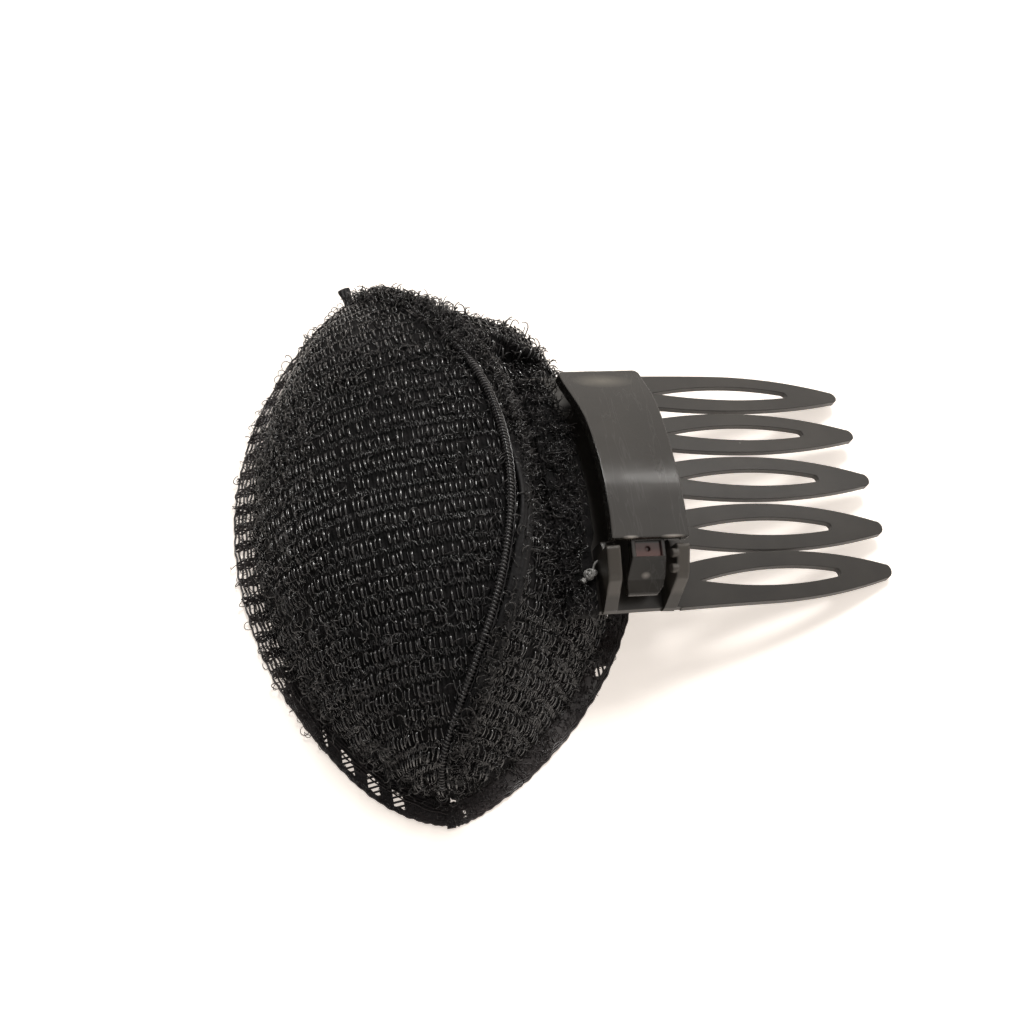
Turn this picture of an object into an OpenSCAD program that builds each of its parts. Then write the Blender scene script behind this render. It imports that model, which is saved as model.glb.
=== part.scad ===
// Hair volume pad with a sewn-on side comb and a hinged clasp bar.
// The pad is a hollow dome of stiff hooked net, open below. It rests on its hem, at z = 0.
// +X runs towards the tips of the teeth, +Y towards the hinge, +Z up.

/* [Pad] */
// Half of the pad's length, hem included
pad_half_length = 49.1; // [44:0.1:54]
// How far the hem reaches from the tips' line, away from the comb
pad_left = 26.8; // [22:0.1:30]
// How far the hem reaches from the tips' line, towards the comb
pad_right = 38.0; // [34:0.1:42]
// Place of the line between the pad's two pointed tips, along X
pad_tip_x = -25.4; // [-28:0.1:-24]
// How far each tip lies off that line: the far one away from the comb, the near one towards it
pad_lean = 1.0; // [0:0.1:2]
// Place of the pad's middle along Y
pad_mid_y = -0.9; // [-2:0.1:1]
// Height of the seam ridge in the middle
ridge_height = 28.6; // [24:0.1:33]
// How far the ridge lies from the tips' line, towards the comb
ridge_out = 17.4; // [15:0.1:22]
// Thickness of the padded net wall
pad_wall = 2.2; // [1.6:0.1:3]

/* [Hem and seam] */
// Width of the single-layer hem
hem_width = 3.4; // [2.5:0.1:4.5]
// Thickness of the hem
hem_thickness = 1.0; // [0.8:0.1:1.6]
// Width of the folded binding beside the ridge
binding_width = 2.8; // [2:0.1:4]
// Thickness of the folded binding
binding_thickness = 1.0; // [0.8:0.1:1.5]
// Diameter of the overlocked cord on the ridge
cord_diameter = 1.5; // [1:0.1:2]
// Length of the small tab at the far tip
tab_length = 4.2; // [3:0.1:6]

/* [Comb] */
// Distance between neighbouring teeth, along the arch
tooth_pitch = 8.6; // [8:0.1:9.2]
// Number of teeth
teeth = 5; // [5:2:5]
// Length of a tooth from its slot's start to its tip
tooth_length = 34.0; // [30:0.1:38]
// Widest part of a tooth
tooth_width = 7.8; // [7:0.1:8.2]
// Length of the slot in a tooth
slot_length = 25.3; // [20:0.1:26]
// Widest part of a slot
slot_width = 3.0; // [2:0.1:3.4]
// Thickness of the comb
comb_thickness = 1.1; // [1:0.1:1.8]
// Width of the base plate behind the slots' start
plate_depth = 22.5; // [19:0.5:24]
// Radius of the arch across the teeth
arch_radius = 78.4; // [60:0.2:110]
// Slope of the teeth, down towards the tips
comb_pitch = 16.8; // [12:0.1:20]
// Small twist that the sewing leaves between comb and pad
comb_twist = 1.6; // [0:0.1:3]

/* [Clasp] */
// Width of the clasp bar
bar_width = 12.6; // [11:0.1:14]
// Thickness of the bar's wall
bar_wall = 1.2; // [1:0.1:1.5]
// Depth of the bar's channel, over all
bar_depth = 1.7; // [1.5:0.1:2.8]
// Radius of the bar's top
bar_radius = 63.8; // [62:0.1:66]
// Radius of the hinge pin
pin_radius = 0.8; // [0.6:0.05:1]
// Running clearance round the pin
pin_clearance = 0.06; // [0.03:0.01:0.1]
// Width of the latch tongue at the bar; its end is a little wider
tongue_width = 5.4; // [4.6:0.1:5.8]
// Height of the catch ears above the plate
ear_height = 6.8; // [6:0.1:7.5]
// Thickness of a catch ear
ear_thickness = 2.1; // [1.4:0.1:2.2]
// Distance between the middles of the two catch ears, at the plate
ear_spacing = 9.9; // [9.8:0.1:10.4]
// How far each ear leans outwards, in degrees
ear_flare = 4; // [0:0.5:6]

/* [Hidden] */

black = "#1c1a1c";
plastic = "#4b4843";

// The comb's own frame: origin at the middle slot's start on the top surface
comb_at = [20.2, -5.5, 15.1];
sag_radius = 309;       // lengthwise curvature of the comb
clasp_x = -12;          // middle of the clasp across its width
bar_arc_at = [-3.9, 7.4 - bar_radius];
bar_far = 20.2;         // degrees from the arc's top to the bar's hinge end
bar_near = 8.9;         // degrees from the arc's top to the bar's latch end
pin_at = [17.1, 0.7];   // hinge pin in the comb's frame, y and z

// The dome inside the hem
seam_gap = 0.2;
dome = [pad_half_length - hem_width, pad_left - hem_width, pad_right - hem_width];

// Rounded-lens rule: 1 in the middle of the pad, 0 at its tips
function bow(s, power) = pow(max(0, 1 - s * s), power);
left_powers = [0.65, 0.8];      // near half, far half
right_powers = [0.73, 0.66];
ridge_powers = [1.3, 1.07];
ridge_sway = 9;                 // how far the seam swings outwards before the near tip
function half_power(powers, s) = powers[s > 0 ? 1 : 0];
function tip_x(s) = pad_tip_x - pad_lean * s;
function ridge_x(s) = tip_x(s) + ridge_out * bow(s, half_power(ridge_powers, s))
    - (s < 0 ? ridge_sway * pow(s, 6) * bow(s, 0.5) : 0);
height_power = 0.52;

// Height that the base plate leaves free for the pad below it, at a place in the pad's frame
function plate_under(x, y) =
    let (dx = x - comb_at[0], dy = y - comb_at[1])
    comb_at[2] - dx * tan(comb_pitch) + dy * sin(comb_twist)
    - dy * dy / (2 * arch_radius) - dx * dx / (2 * sag_radius) - comb_thickness / cos(comb_pitch);
function plate_left(y) =
    let (dy = y - comb_at[1],
         drop = dy * dy / (2 * arch_radius) + plate_depth * plate_depth / (2 * sag_radius))
    comb_at[0] - plate_depth * cos(comb_pitch) - (drop + comb_thickness) * sin(comb_pitch);
seat_gap = 0.5;
seat_rise = 1.6;        // how steeply the pad stands up beside the plate's edges
seat_margin = 1.2;
seat_end_margin = 4;
function seat_height(x, y) =
    let (start = plate_left(y) - seat_margin)
    plate_under(max(x, start), y) - seat_gap + seat_rise * max(0, start - x)
    + seat_rise * max(0, abs(y - comb_at[1]) - comb_half - seat_end_margin);

// Fullness of the back panel's curve: 2 is a straight slope, 1 a quarter ellipse
seat_power = 1.65;
side_powers = [1.3, 0.85];      // near side, far side
function back_power(y) =
    let (d = y - comb_at[1], r = min(1, abs(d) / 22))
    seat_power + (half_power(side_powers, d) - seat_power) * r * r * (3 - 2 * r);

// A point of the pad. s runs from -1 to 1 between the tips, u from 0 to 1 between rim and ridge.
function front_point(s, u, inset) =
    let (h = (ridge_height - inset) * bow(s, height_power),
         xr = ridge_x(s),
         xl = tip_x(s) - (dome[1] - inset) * bow(s, half_power(left_powers, s)),
         a = 90 * u)
    [xr - (xr - xl) * cos(a), pad_mid_y + (dome[0] - inset) * s, h * sin(a)];

function back_point(s, u, inset) =
    let (y = pad_mid_y + (dome[0] - inset) * s,
         h = (ridge_height - inset) * bow(s, height_power),
         xr = ridge_x(s) + seam_gap,
         xb = tip_x(s) + (dome[2] - inset) * bow(s, half_power(right_powers, s)),
         p = back_power(y),
         a = 90 * u,
         x = xr + (xb - xr) * pow(cos(a), p),
         z = h * pow(sin(a), p))
    [x, y, min(z, seat_height(x, y) - inset)];

pad_sections = 36;
pad_steps = 16;
tip_angle = 86;
function station(i) = sin(tip_angle * (2 * i / pad_sections - 1));

// Faces of a closed wall made of an outer and an inner grid of points, rows by cols
function grid_faces(rows, cols) =
    let (n = rows * cols,
         id = function(k, i, j) k * n + i * cols + j,
         quad = function(a, b, c, d) [[a, b, c], [a, c, d]])
    [for (i = [0:rows - 2], j = [0:cols - 2], k = [0, 1], f =
         k == 0 ? quad(id(0, i, j), id(0, i, j + 1), id(0, i + 1, j + 1), id(0, i + 1, j))
                : quad(id(1, i, j), id(1, i + 1, j), id(1, i + 1, j + 1), id(1, i, j + 1))) f,
     for (i = [0:rows - 2], f = quad(id(0, i, 0), id(0, i + 1, 0), id(1, i + 1, 0), id(1, i, 0))) f,
     for (i = [0:rows - 2], f = quad(id(0, i, cols - 1), id(1, i, cols - 1),
                                     id(1, i + 1, cols - 1), id(0, i + 1, cols - 1))) f,
     for (j = [0:cols - 2], f = quad(id(0, 0, j), id(1, 0, j), id(1, 0, j + 1), id(0, 0, j + 1))) f,
     for (j = [0:cols - 2], f = quad(id(0, rows - 1, j), id(0, rows - 1, j + 1),
                                     id(1, rows - 1, j + 1), id(1, rows - 1, j))) f];
function flipped(faces) = [for (f = faces) [f[0], f[2], f[1]]];

// The large outer panel of the dome, from the hem up to the ridge seam
module front_panel() {
    points = [for (inset = [0, pad_wall], i = [0:pad_sections], j = [0:pad_steps])
        front_point(station(i), j / pad_steps, inset)];
    color(black)
        polyhedron(points, flipped(grid_faces(pad_sections + 1, pad_steps + 1)), convexity = 6);
}

// The smaller panel under the comb, pressed in where the base plate sits on it
module back_panel() {
    points = [for (inset = [0, pad_wall], i = [0:pad_sections], j = [0:pad_steps])
        back_point(station(i), j / pad_steps, inset)];
    color(black) polyhedron(points, grid_faces(pad_sections + 1, pad_steps + 1), convexity = 6);
}

// A point of the hem's outline: s from -1 to 1, side -1 away from the comb, +1 towards it
function rim_point(a, grow) =
    let (s = sin(a), side = cos(a) < 0 ? -1 : 1,
         reach = side < 0 ? dome[1] : dome[2],
         power = half_power(side < 0 ? left_powers : right_powers, s))
    [tip_x(s) + side * (reach + grow) * bow(s, power), pad_mid_y + (dome[0] + grow) * s];

hem_steps = 72;
hem_rise = 0.6;

// A closed loop swept from a section that may change along it
module swept_loop(points, n, m) {
    faces = [for (i = [0:n - 1], j = [0:m - 1])
        let (a = i * m + j, b = i * m + (j + 1) % m,
             c = ((i + 1) % n) * m + (j + 1) % m, d = ((i + 1) % n) * m + j)
        each [[a, c, b], [a, d, c]]];
    polyhedron(points, faces, convexity = 8);
}

// The flat single-layer edge of net round the whole pad
module rim_hem() {
    points = [for (i = [0:hem_steps - 1])
        let (a = 360 * i / hem_steps + 180 / hem_steps,
             inner = rim_point(a, seam_gap), outer = rim_point(a, hem_width))
        each [[inner[0], inner[1], 0], [inner[0], inner[1], hem_thickness + hem_rise],
              [outer[0], outer[1], hem_thickness], [outer[0], outer[1], 0]]];
    color(black) swept_loop(points, hem_steps, 4);
}

// A strip swept between two ends: rows of m points, closed at both ends
module swept_strip(points, n, m) {
    faces = [for (i = [0:n - 2], j = [0:m - 1])
        let (a = i * m + j, b = i * m + (j + 1) % m,
             c = (i + 1) * m + (j + 1) % m, d = (i + 1) * m + j)
        each [[a, b, c], [a, c, d]]];
    caps = [[for (j = [0:m - 1]) m - 1 - j], [for (j = [0:m - 1]) (n - 1) * m + j]];
    polyhedron(points, concat(faces, caps), convexity = 8);
}

seam_steps = 40;
cord_lift = 0.9;         // middle of the cord above the ridge
function seam_station(i) = sin(78 * (2 * i / seam_steps - 1));

// The overlocked edge of the seam, a cord along the ridge
module seam_cord() {
    sides = 8;
    points = [for (i = [0:seam_steps], j = [0:sides - 1])
        let (p = front_point(seam_station(i), 1, 0), a = 360 * j / sides)
        [p[0] + cord_diameter / 2 * cos(a) - 0.2, p[1],
         p[2] + cord_lift + cord_diameter / 2 * sin(a)]];
    color(black) swept_strip(points, seam_steps + 1, sides);
}

binding_lift = 0.8;
binding_from = 0.96;
binding_to = 0.82;

// The folded binding that lies on the back panel, just below the cord
module seam_binding() {
    points = [for (i = [0:seam_steps])
        let (s = seam_station(i),
             p = back_point(s, binding_from, 0), q = back_point(s, binding_to, 0),
             d = (q - p) / norm(q - p), n = [-d[2], 0, d[0]],
             up = n[2] < 0 ? -n : n,
             base = p + up * binding_lift, far = base + d * binding_width)
        each [base, far, far + up * binding_thickness, base + up * binding_thickness]];
    color(black) swept_strip(points, seam_steps + 1, 4);
}

// A small end of fabric at the far tip
module tip_tab() {
    color(black)
        translate([tip_x(1) - 0.6, pad_mid_y + pad_half_length - 0.6, hem_thickness + 1.7])
        rotate([18, 0, 14]) cube([2.2, tab_length, 0.9], center = true);
}

// Places something given in the comb's frame
module on_comb() {
    translate(comb_at) rotate([comb_twist, 0, 0]) rotate([0, comb_pitch, 0]) children();
}

// Sheet of the comb's thickness with the arch and the lengthwise sag, cut to an outline
module comb_sheet(thickness, lift = 0) {
    half = 22.5;
    intersection() {
        translate([0, 0, -sag_radius]) rotate([-90, -90, 0]) rotate([0, 0, -5])
            rotate_extrude(angle = 13, $fn = 360) intersection() {
                translate([sag_radius - arch_radius + lift, 0]) difference() {
                    circle(arch_radius, $fn = 360);
                    circle(arch_radius - thickness, $fn = 360);
                }
                translate([sag_radius - 20, -half]) square([30, 2 * half]);
            }
        translate([0, 0, -30]) linear_extrude(60) children();
    }
}

// Distance from the middle of a row to a place given along the arch
function arched(s) = arch_radius * sin(s / arch_radius * 180 / PI);
lens_middle = 11;
lens_radius = 88;
tip_round = 1.13;
slot_start = -1.2;
slot_middle = 0.556;
slot_round = 0.62;
root_x = -4;
// How far each tooth is bent aside in its plane, in degrees, from the near one to the far one
tooth_turn = [1.8, -0.2, 0, 0.6, 0.5];

// Outline of one tooth: two equal arcs and a round tip. An outer tooth's edge runs straight into the
// plate's: outer is -1 for the near one and 1 for the far one.
module tooth_outline(outer) {
    side = lens_radius - tooth_width / 2;
    cut = tooth_length - tip_round;
    intersection() {
        translate([lens_middle, side]) circle(lens_radius, $fn = 360);
        translate([lens_middle, -side]) circle(lens_radius, $fn = 360);
        translate([root_x - 2, -10]) square([cut - root_x + 2, 20]);
    }
    translate([cut, 0]) circle(tip_round, $fn = 48);
    if (outer != 0) translate([root_x - 1, outer > 0 ? tooth_width / 2 - 3 : -tooth_width / 2])
        square([lens_middle - root_x + 1, 3]);
}

// Outline of the leaf-shaped slot in a tooth
module slot_outline() {
    half = slot_length * slot_middle;
    r = (half * half + slot_width * slot_width / 4) / slot_width;
    side = r - slot_width / 2;
    intersection() {
        translate([half, side]) circle(r, $fn = 240);
        translate([half, -side]) circle(r, $fn = 240);
        translate([0, -5]) square([slot_length - slot_round, 10]);
    }
    translate([slot_length - slot_round, 0]) circle(slot_round, $fn = 32);
}

last = (teeth - 1) / 2;
comb_half = arched(last * tooth_pitch) + tooth_width / 2;
stitch_x = -20.8;
stitch_rows = [-15.5, -5, 5, 15.5];
stitch_radius = 0.6;

module at_tooth(k) {
    translate([0, arched(k * tooth_pitch)]) rotate(tooth_turn[k + last]) children();
}

module comb_outline() {
    difference() {
        union() {
            translate([-plate_depth, -comb_half]) square([plate_depth + root_x, 2 * comb_half]);
            for (k = [-last:last]) at_tooth(k) tooth_outline(abs(k) == last ? sign(k) : 0);
        }
        for (k = [-last:last]) at_tooth(k) translate([slot_start, 0]) slot_outline();
        for (y = stitch_rows) translate([stitch_x, y]) circle(stitch_radius, $fn = 32);
    }
}

// Height of the plate's top at a place in the comb's frame
function plate_top(x, y) = sqrt(arch_radius * arch_radius - y * y) - arch_radius
    - x * x / (2 * sag_radius);

// A plate that stands in the y-z plane, thick along x, centred on x
module upright(x, thickness) {
    translate([x - thickness / 2, 0, 0]) rotate([90, 0, 90]) linear_extrude(thickness) children();
}

// Side view of a catch ear: steep near edge, a top that rises towards the bar, a shelf under the bar,
// sloping back, and rounded corners
module ear_side() {
    sink = 0.9;
    root = -21.3;
    back = -11.6;
    top_y = [-18.9, -14.3];
    shelf_z = 3.5;
    top_z = [plate_top(clasp_x, top_y[0]) + ear_height - 0.6,
             plate_top(clasp_x, top_y[1]) + ear_height + 0.5];
    corner = 0.45;
    offset(r = corner, $fn = 24) offset(delta = -corner)
        polygon([[root, plate_top(clasp_x, root) - sink], [root, plate_top(clasp_x, root) + 0.6],
                 [top_y[0] - 0.1, top_z[0] - 0.7], [top_y[0] + 0.6, top_z[0]],
                 [top_y[1] - 0.3, top_z[1]], [top_y[1], top_z[1] - 0.3],
                 [top_y[1] + 0.3, shelf_z], [top_y[1] + 1.8, shelf_z - 0.2],
                 [back, plate_top(clasp_x, back) + 0.4], [back, plate_top(clasp_x, back) - sink]]);
}

ear_foot = -2.5;
nub_radius = 0.7;
nub_reach = 0.6;
nub_sink = 0.4;
nub_places = [[-15.6, 4.6], [-17.6, 3.5]];       // y and z, on the inner face of the ear by the teeth
left_flare = 3;          // the other ear leans this much more, in degrees
lug_thickness = 1.4;
lug_inner = 2.3;
lug_radius = 1.5;

// Side view of a hinge lug
module lug_side() {
    foot = plate_top(clasp_x, pin_at[0]) - 0.5;
    difference() {
        union() {
            translate(pin_at) circle(lug_radius, $fn = 48);
            translate([pin_at[0] - lug_radius, foot - 0.2])
                square([2 * lug_radius - 0.3, pin_at[1] - foot + 0.2]);
        }
        translate(pin_at) circle(pin_radius + 0.02, $fn = 48);
    }
}

// The moulded comb: base plate, five slotted teeth, two catch ears and two hinge lugs
module comb() {
    color(plastic) on_comb() {
        comb_sheet(comb_thickness) comb_outline();
        for (m = [-1, 1]) {
            translate([clasp_x + m * ear_spacing / 2, 0, ear_foot])
                rotate([0, m * ear_flare - (m < 0 ? left_flare : 0), 0]) translate([0, 0, -ear_foot]) {
                    upright(0, ear_thickness) ear_side();
                    if (m > 0) for (at = nub_places)
                        translate([-(ear_thickness + nub_reach) / 2, at[0], at[1]]) rotate([0, 90, 0])
                        cylinder(h = nub_reach + nub_sink, r = nub_radius, center = true, $fn = 32);
                }
            upright(clasp_x + m * (lug_inner + lug_thickness / 2), lug_thickness) lug_side();
        }
    }
}

// The plain pin through the lugs and the bar's knuckle
module hinge_pin() {
    color(plastic) on_comb()
        translate([clasp_x, pin_at[0], pin_at[1]]) rotate([0, 90, 0])
        cylinder(h = 2 * (lug_inner + lug_thickness), r = pin_radius, center = true, $fn = 48);
}

// Edge of the strip from above, x and y: the plate's near and far corners stay bare
strip_edge = [[-22, -17.8], [-21.4, -15], [-19.3, -10], [-18.8, -3], [-18.7, 5], [-18.8, 12],
              [-19.2, 20.4]];
strip_thickness = 0.8;
strip_gap = 0.1;

// The strip of net that laps over the plate's back edge and is sewn down through it
module cover_strip() {
    back = -plate_depth - 1;
    color(black) on_comb() comb_sheet(strip_thickness, strip_thickness + strip_gap)
        polygon(concat([[back, strip_edge[6][1]], [back, strip_edge[0][1]]], strip_edge));
}

// The knot of the thread that sews the comb to the pad: x, y and radius of its loops
knot_loops = [[-19.75, -15.7, 0.95], [-18.8, -15.3, 0.55], [-20.6, -16.4, 0.5]];
knot_sides = 12;
module thread_knot() {
    color("#6b6b69") on_comb()
        for (b = knot_loops)
            translate([b[0], b[1], plate_top(b[0], b[1]) + b[2] + strip_gap]) sphere(b[2], $fn = knot_sides);
}

// Outline of the bar from above: y, and how far its left and right edges lie to the right of a straight
// bar's. The bar bows towards the teeth and widens at the hinge.
bar_plan = [[17.4, -1.15, 0], [15, -1, 0.35], [12.6, -0.55, 0.7], [10, 0.05, 0.8], [7.5, 0.4, 0.75],
            [5, 0.55, 0.65], [0, 0.65, 0.5], [-5, 0.55, 0.4], [-10, 0.3, 0.2], [-13.8, 0, 0], [-15, 0, 0]];
bar_end_slant = 0.5;     // the hinge end lies further out on the right by this much
module bar_outline() {
    half = bar_width / 2;
    back = [for (i = [1:len(bar_plan)]) bar_plan[len(bar_plan) - i]];
    offset(r = 0.9, $fn = 32) offset(delta = -0.9) translate([clasp_x, 0]) polygon(concat(
        [for (p = bar_plan) [p[1] - half, p[0]]],
        [for (p = back) [half + p[2], p[0] + (p == bar_plan[0] ? bar_end_slant : 0)]]));
}

// A sheet of the bar's curve between two radii, wider than the bar
module bar_sheet(low, high) {
    arc_sweep(bar_arc_at, -bar_far, bar_near)
        translate([bar_radius - high, -bar_width]) square([high - low, 2 * bar_width]);
}

// The bar's shell: its top sheet and the low walls along its edges
module bar_shell() {
    wall = 1;
    difference() {
        intersection() {
            bar_sheet(0, bar_depth);
            linear_extrude(20) bar_outline();
        }
        intersection() {
            bar_sheet(bar_wall, bar_depth + 1);
            linear_extrude(20) offset(delta = -wall) union() {
                bar_outline();
                for (y = [-16, 17]) translate([clasp_x - bar_width / 2, y]) square([bar_width, 4]);
            }
        }
    }
}

// Sweeps a section about an axis along x, from one angle to another, + towards the latch end
module arc_sweep(at, from, to) {
    translate([clasp_x, at[0], at[1]]) rotate([180, -90, 0]) rotate([0, 0, from])
        rotate_extrude(angle = to - from, $fn = 360) children();
}

// Middle line of the tongue, y and z: a level panel, a steeper fall and a lip for the finger
tongue_line = [[-10.5, 5.5], [-15.8, 4.1], [-18.1, 1.5], [-19.9, 0.6]];
tongue_wall = 1.2;
// Outline of the tongue from above: y, and how far it widens on the left and on the right
tongue_plan = [[-10, 0, 0], [-16, 0.1, 0], [-18.2, 0.5, 0.3], [-19.5, 0.5, -0.1], [-20.6, 0.4, -1.1]];
knuckle_half = 2.0;
knuckle_radius = 1.7;

// A line of even width with round corners
module band(points, width) {
    for (p = points) translate(p) circle(width / 2, $fn = 32);
    for (i = [0:len(points) - 2])
        let (p = points[i], d = points[i + 1] - p)
        translate(p) rotate(atan2(d[1], d[0])) translate([0, -width / 2]) square([norm(d), width]);
}

// The latch tongue with the small sunk panel at its root
module tongue() {
    half = tongue_width / 2;
    slope = atan2(tongue_line[0][1] - tongue_line[1][1], tongue_line[0][0] - tongue_line[1][0]);
    difference() {
        intersection() {
            upright(clasp_x, 2 * tongue_width) band(tongue_line, tongue_wall);
            translate([clasp_x, 0, -10]) linear_extrude(20) polygon(concat(
                [for (p = tongue_plan) [-half - p[1], p[0]]],
                [for (i = [1:len(tongue_plan)]) let (p = tongue_plan[len(tongue_plan) - i])
                    [half + p[2], p[0]]]));
        }
        translate([clasp_x, tongue_line[1][0], tongue_line[1][1]]) rotate([slope, 0, 0]) {
            translate([0.6 - half, 0, 0.2]) cube([tongue_width - 1.2, 2.4, 2]);
            translate([0, 1.2, -0.2]) cylinder(h = 2, r = 0.4, $fn = 24);
        }
    }
}

// The arched bar over the plate, with its knuckle at the hinge and its latch tongue
module clasp_bar() {
    color(plastic) on_comb() difference() {
        union() {
            bar_shell();
            tongue();
            // the knuckle and the web that carries it
            translate([clasp_x, pin_at[0], pin_at[1]]) rotate([0, 90, 0])
                cylinder(h = 2 * knuckle_half, r = knuckle_radius, center = true, $fn = 48);
            upright(clasp_x, 2 * knuckle_half) translate(pin_at)
                polygon([[-1.6, 0], [-1.6, 2.6], [0.3, 2.5], [1.5, 1.5], [1.7, 0]]);
        }
        translate([clasp_x, pin_at[0], pin_at[1]]) rotate([0, 90, 0])
            cylinder(h = 4 * knuckle_half, r = pin_radius + pin_clearance, center = true, $fn = 48);
    }
}

front_panel();
back_panel();
rim_hem();
seam_cord();
seam_binding();
tip_tab();
comb();
hinge_pin();
cover_strip();
thread_knot();
clasp_bar();
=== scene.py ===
import math

import bpy
import numpy as np
from mathutils import Matrix


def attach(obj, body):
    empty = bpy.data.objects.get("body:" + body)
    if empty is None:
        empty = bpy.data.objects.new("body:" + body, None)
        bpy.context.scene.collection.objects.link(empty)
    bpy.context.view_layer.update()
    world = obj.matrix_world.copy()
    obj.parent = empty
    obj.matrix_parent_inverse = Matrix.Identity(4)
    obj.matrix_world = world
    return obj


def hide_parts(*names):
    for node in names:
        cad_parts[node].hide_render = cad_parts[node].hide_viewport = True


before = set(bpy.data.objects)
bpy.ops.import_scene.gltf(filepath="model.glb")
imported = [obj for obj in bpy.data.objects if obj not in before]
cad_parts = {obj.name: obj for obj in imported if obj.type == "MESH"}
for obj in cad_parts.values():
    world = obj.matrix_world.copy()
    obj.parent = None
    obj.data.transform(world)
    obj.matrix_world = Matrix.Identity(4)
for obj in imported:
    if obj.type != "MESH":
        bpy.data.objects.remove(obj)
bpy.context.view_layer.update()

print("frame loaded:", len(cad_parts), "solids")

mm = 0.001  # shapes are worked out in millimetres and become metres in makePiece

# The camera stands where the photographer's did, to the near left and high up. Here and for the lights the
# side is degrees from +Y towards +X, the rise degrees above the floor.
shot = {
    "side": 190.8, "rise": 61.0,
    "away": 280.8,                  # from the middle of the picture, in mm
    "at": (-7.95, -6.35, 15.05),    # what the middle of the picture shows
    "lens": 63.28, "sensor": 36.0,
    "clip": (0.01, 10),
}


def placeLooking(name, data, side, rise, away, roll=0, at=(0, 0, 0)):
    # An object that looks at a place from the side, rise and distance given, rolled about its line of sight
    side, rise, roll = np.radians([side, rise, roll])
    back = np.array([math.sin(side) * math.cos(rise), math.cos(side) * math.cos(rise), math.sin(rise)])
    level = np.array([-math.cos(side), math.sin(side), 0.0])
    right = math.cos(roll) * level + math.sin(roll) * np.cross(back, level)
    thing = bpy.data.objects.new(name, data)
    bpy.context.scene.collection.objects.link(thing)
    pose = Matrix(np.column_stack([right, np.cross(back, right), back]).tolist()).to_4x4()
    pose.translation = (np.array(at) + back * away).tolist()
    thing.matrix_world = pose
    return thing


def placeCamera():
    data = bpy.data.cameras.new("camera")
    data.lens = shot["lens"]
    data.sensor_width = shot["sensor"]
    data.clip_start, data.clip_end = shot["clip"]
    middle = np.array(shot["at"]) * mm
    camera = placeLooking("camera", data, shot["side"], shot["rise"], shot["away"] * mm, at=middle)
    bpy.context.scene.camera = camera


# Soft lights: side, rise, distance and size in metres, power, roll in degrees, tint
lights = {
    "lamp": (26, 58, 1.3, (0.34, 0.34), 10.4, 0, (1, 0.98, 0.95)),
    "window": (41, 26, 1.2, (0.95, 0.72), 2.5, 0, (1, 0.94, 0.87)),
    "slit": (56, 41, 1.2, (0.8, 0.03), 0.7, 52, (1, 0.98, 0.95)),
    "wall": (88, 42, 1.2, (1.0, 0.9), 3.1, 0, (1, 0.95, 0.9)),
    "room": (160, 20, 1.2, (1.1, 0.5), 1.15, 0, (1, 0.95, 0.89)),
    "rim": (-61, 9, 1.2, (0.3, 0.2), 0.7, 0, (1, 0.97, 0.93)),
}
surroundings = {"tint": (0.93, 0.91, 0.9, 1), "strength": 0.17}


def placeLights():
    for name, (side, rise, away, size, power, roll, tint) in lights.items():
        data = bpy.data.lights.new(name, "AREA")
        data.shape = "RECTANGLE"
        data.size, data.size_y = size
        data.energy = power
        data.color = tint
        placeLooking(name, data, side, rise, away, roll)
    world = bpy.data.worlds.new("room")
    world.use_nodes = True
    background = world.node_tree.nodes["Background"]
    background.inputs["Color"].default_value = surroundings["tint"]
    background.inputs["Strength"].default_value = surroundings["strength"]
    bpy.context.scene.world = world
    bpy.context.scene.view_settings.view_transform = "Standard"


placeCamera()
placeLights()
print("camera and lights placed")


# The comb's own frame and sizes, as in the part's source, in mm
comb = {
    "at": (20.2, -5.5, 15.1), "pitch": math.radians(16.8), "twist": math.radians(1.6), "thickness": 1.1,
    "archRadius": 78.4, "sagRadius": 309.0, "plateDepth": 22.5, "halfWidth": 20.96,
}


def turned(a, b, angle):
    # A pair of coordinates turned by an angle in radians
    c, d = math.cos(angle), math.sin(angle)
    return a * c - b * d, a * d + b * c


def fromComb(points):
    # From the comb's frame to the part's: slope about y, twist about x, then its place
    x, y, z = np.moveaxis(np.asarray(points, float), -1, 0)
    x, z = turned(x, z, -comb["pitch"])
    y, z = turned(y, z, comb["twist"])
    return np.stack([x, y, z], axis=-1) + np.array(comb["at"])


def addNode(tree, kind, inputs=None, **settings):
    # A node of the kind, its sockets linked where the value is a socket and set where it is a number
    node = tree.nodes.new(kind)
    for name, value in settings.items():
        setattr(node, name, value)
    for key, value in (inputs or {}).items():
        if isinstance(value, bpy.types.NodeSocket):
            tree.links.new(value, node.inputs[key])
        else:
            node.inputs[key].default_value = value
    return node


def calc(tree, operation, *values):
    return addNode(tree, "ShaderNodeMath", dict(enumerate(values)), operation=operation).outputs[0]


def blendColours(tree, mask, low, high):
    # low where the mask is 0, high where it is 1
    return addNode(tree, "ShaderNodeMix", {0: mask, 6: low, 7: high}, data_type="RGBA").outputs[2]


def spread(tree, value, low, high, toLow=0.0, toHigh=1.0):
    # Straight-line map from low..high to toLow..toHigh, held at its ends
    return addNode(tree, "ShaderNodeMapRange", {0: value, 1: low, 2: high, 3: toLow, 4: toHigh}).outputs[0]


def noise(tree, place, scale, detail=2.0, roughness=0.5):
    inputs = {"Vector": place, "Scale": scale, "Detail": detail, "Roughness": roughness}
    return addNode(tree, "ShaderNodeTexNoise", inputs).outputs[0]


def wave(tree, value, pitch):
    # A sine that repeats with every pitch of the value
    turns = calc(tree, "DIVIDE", value, pitch)
    return calc(tree, "SINE", calc(tree, "MULTIPLY", turns, 2 * math.pi))


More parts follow.
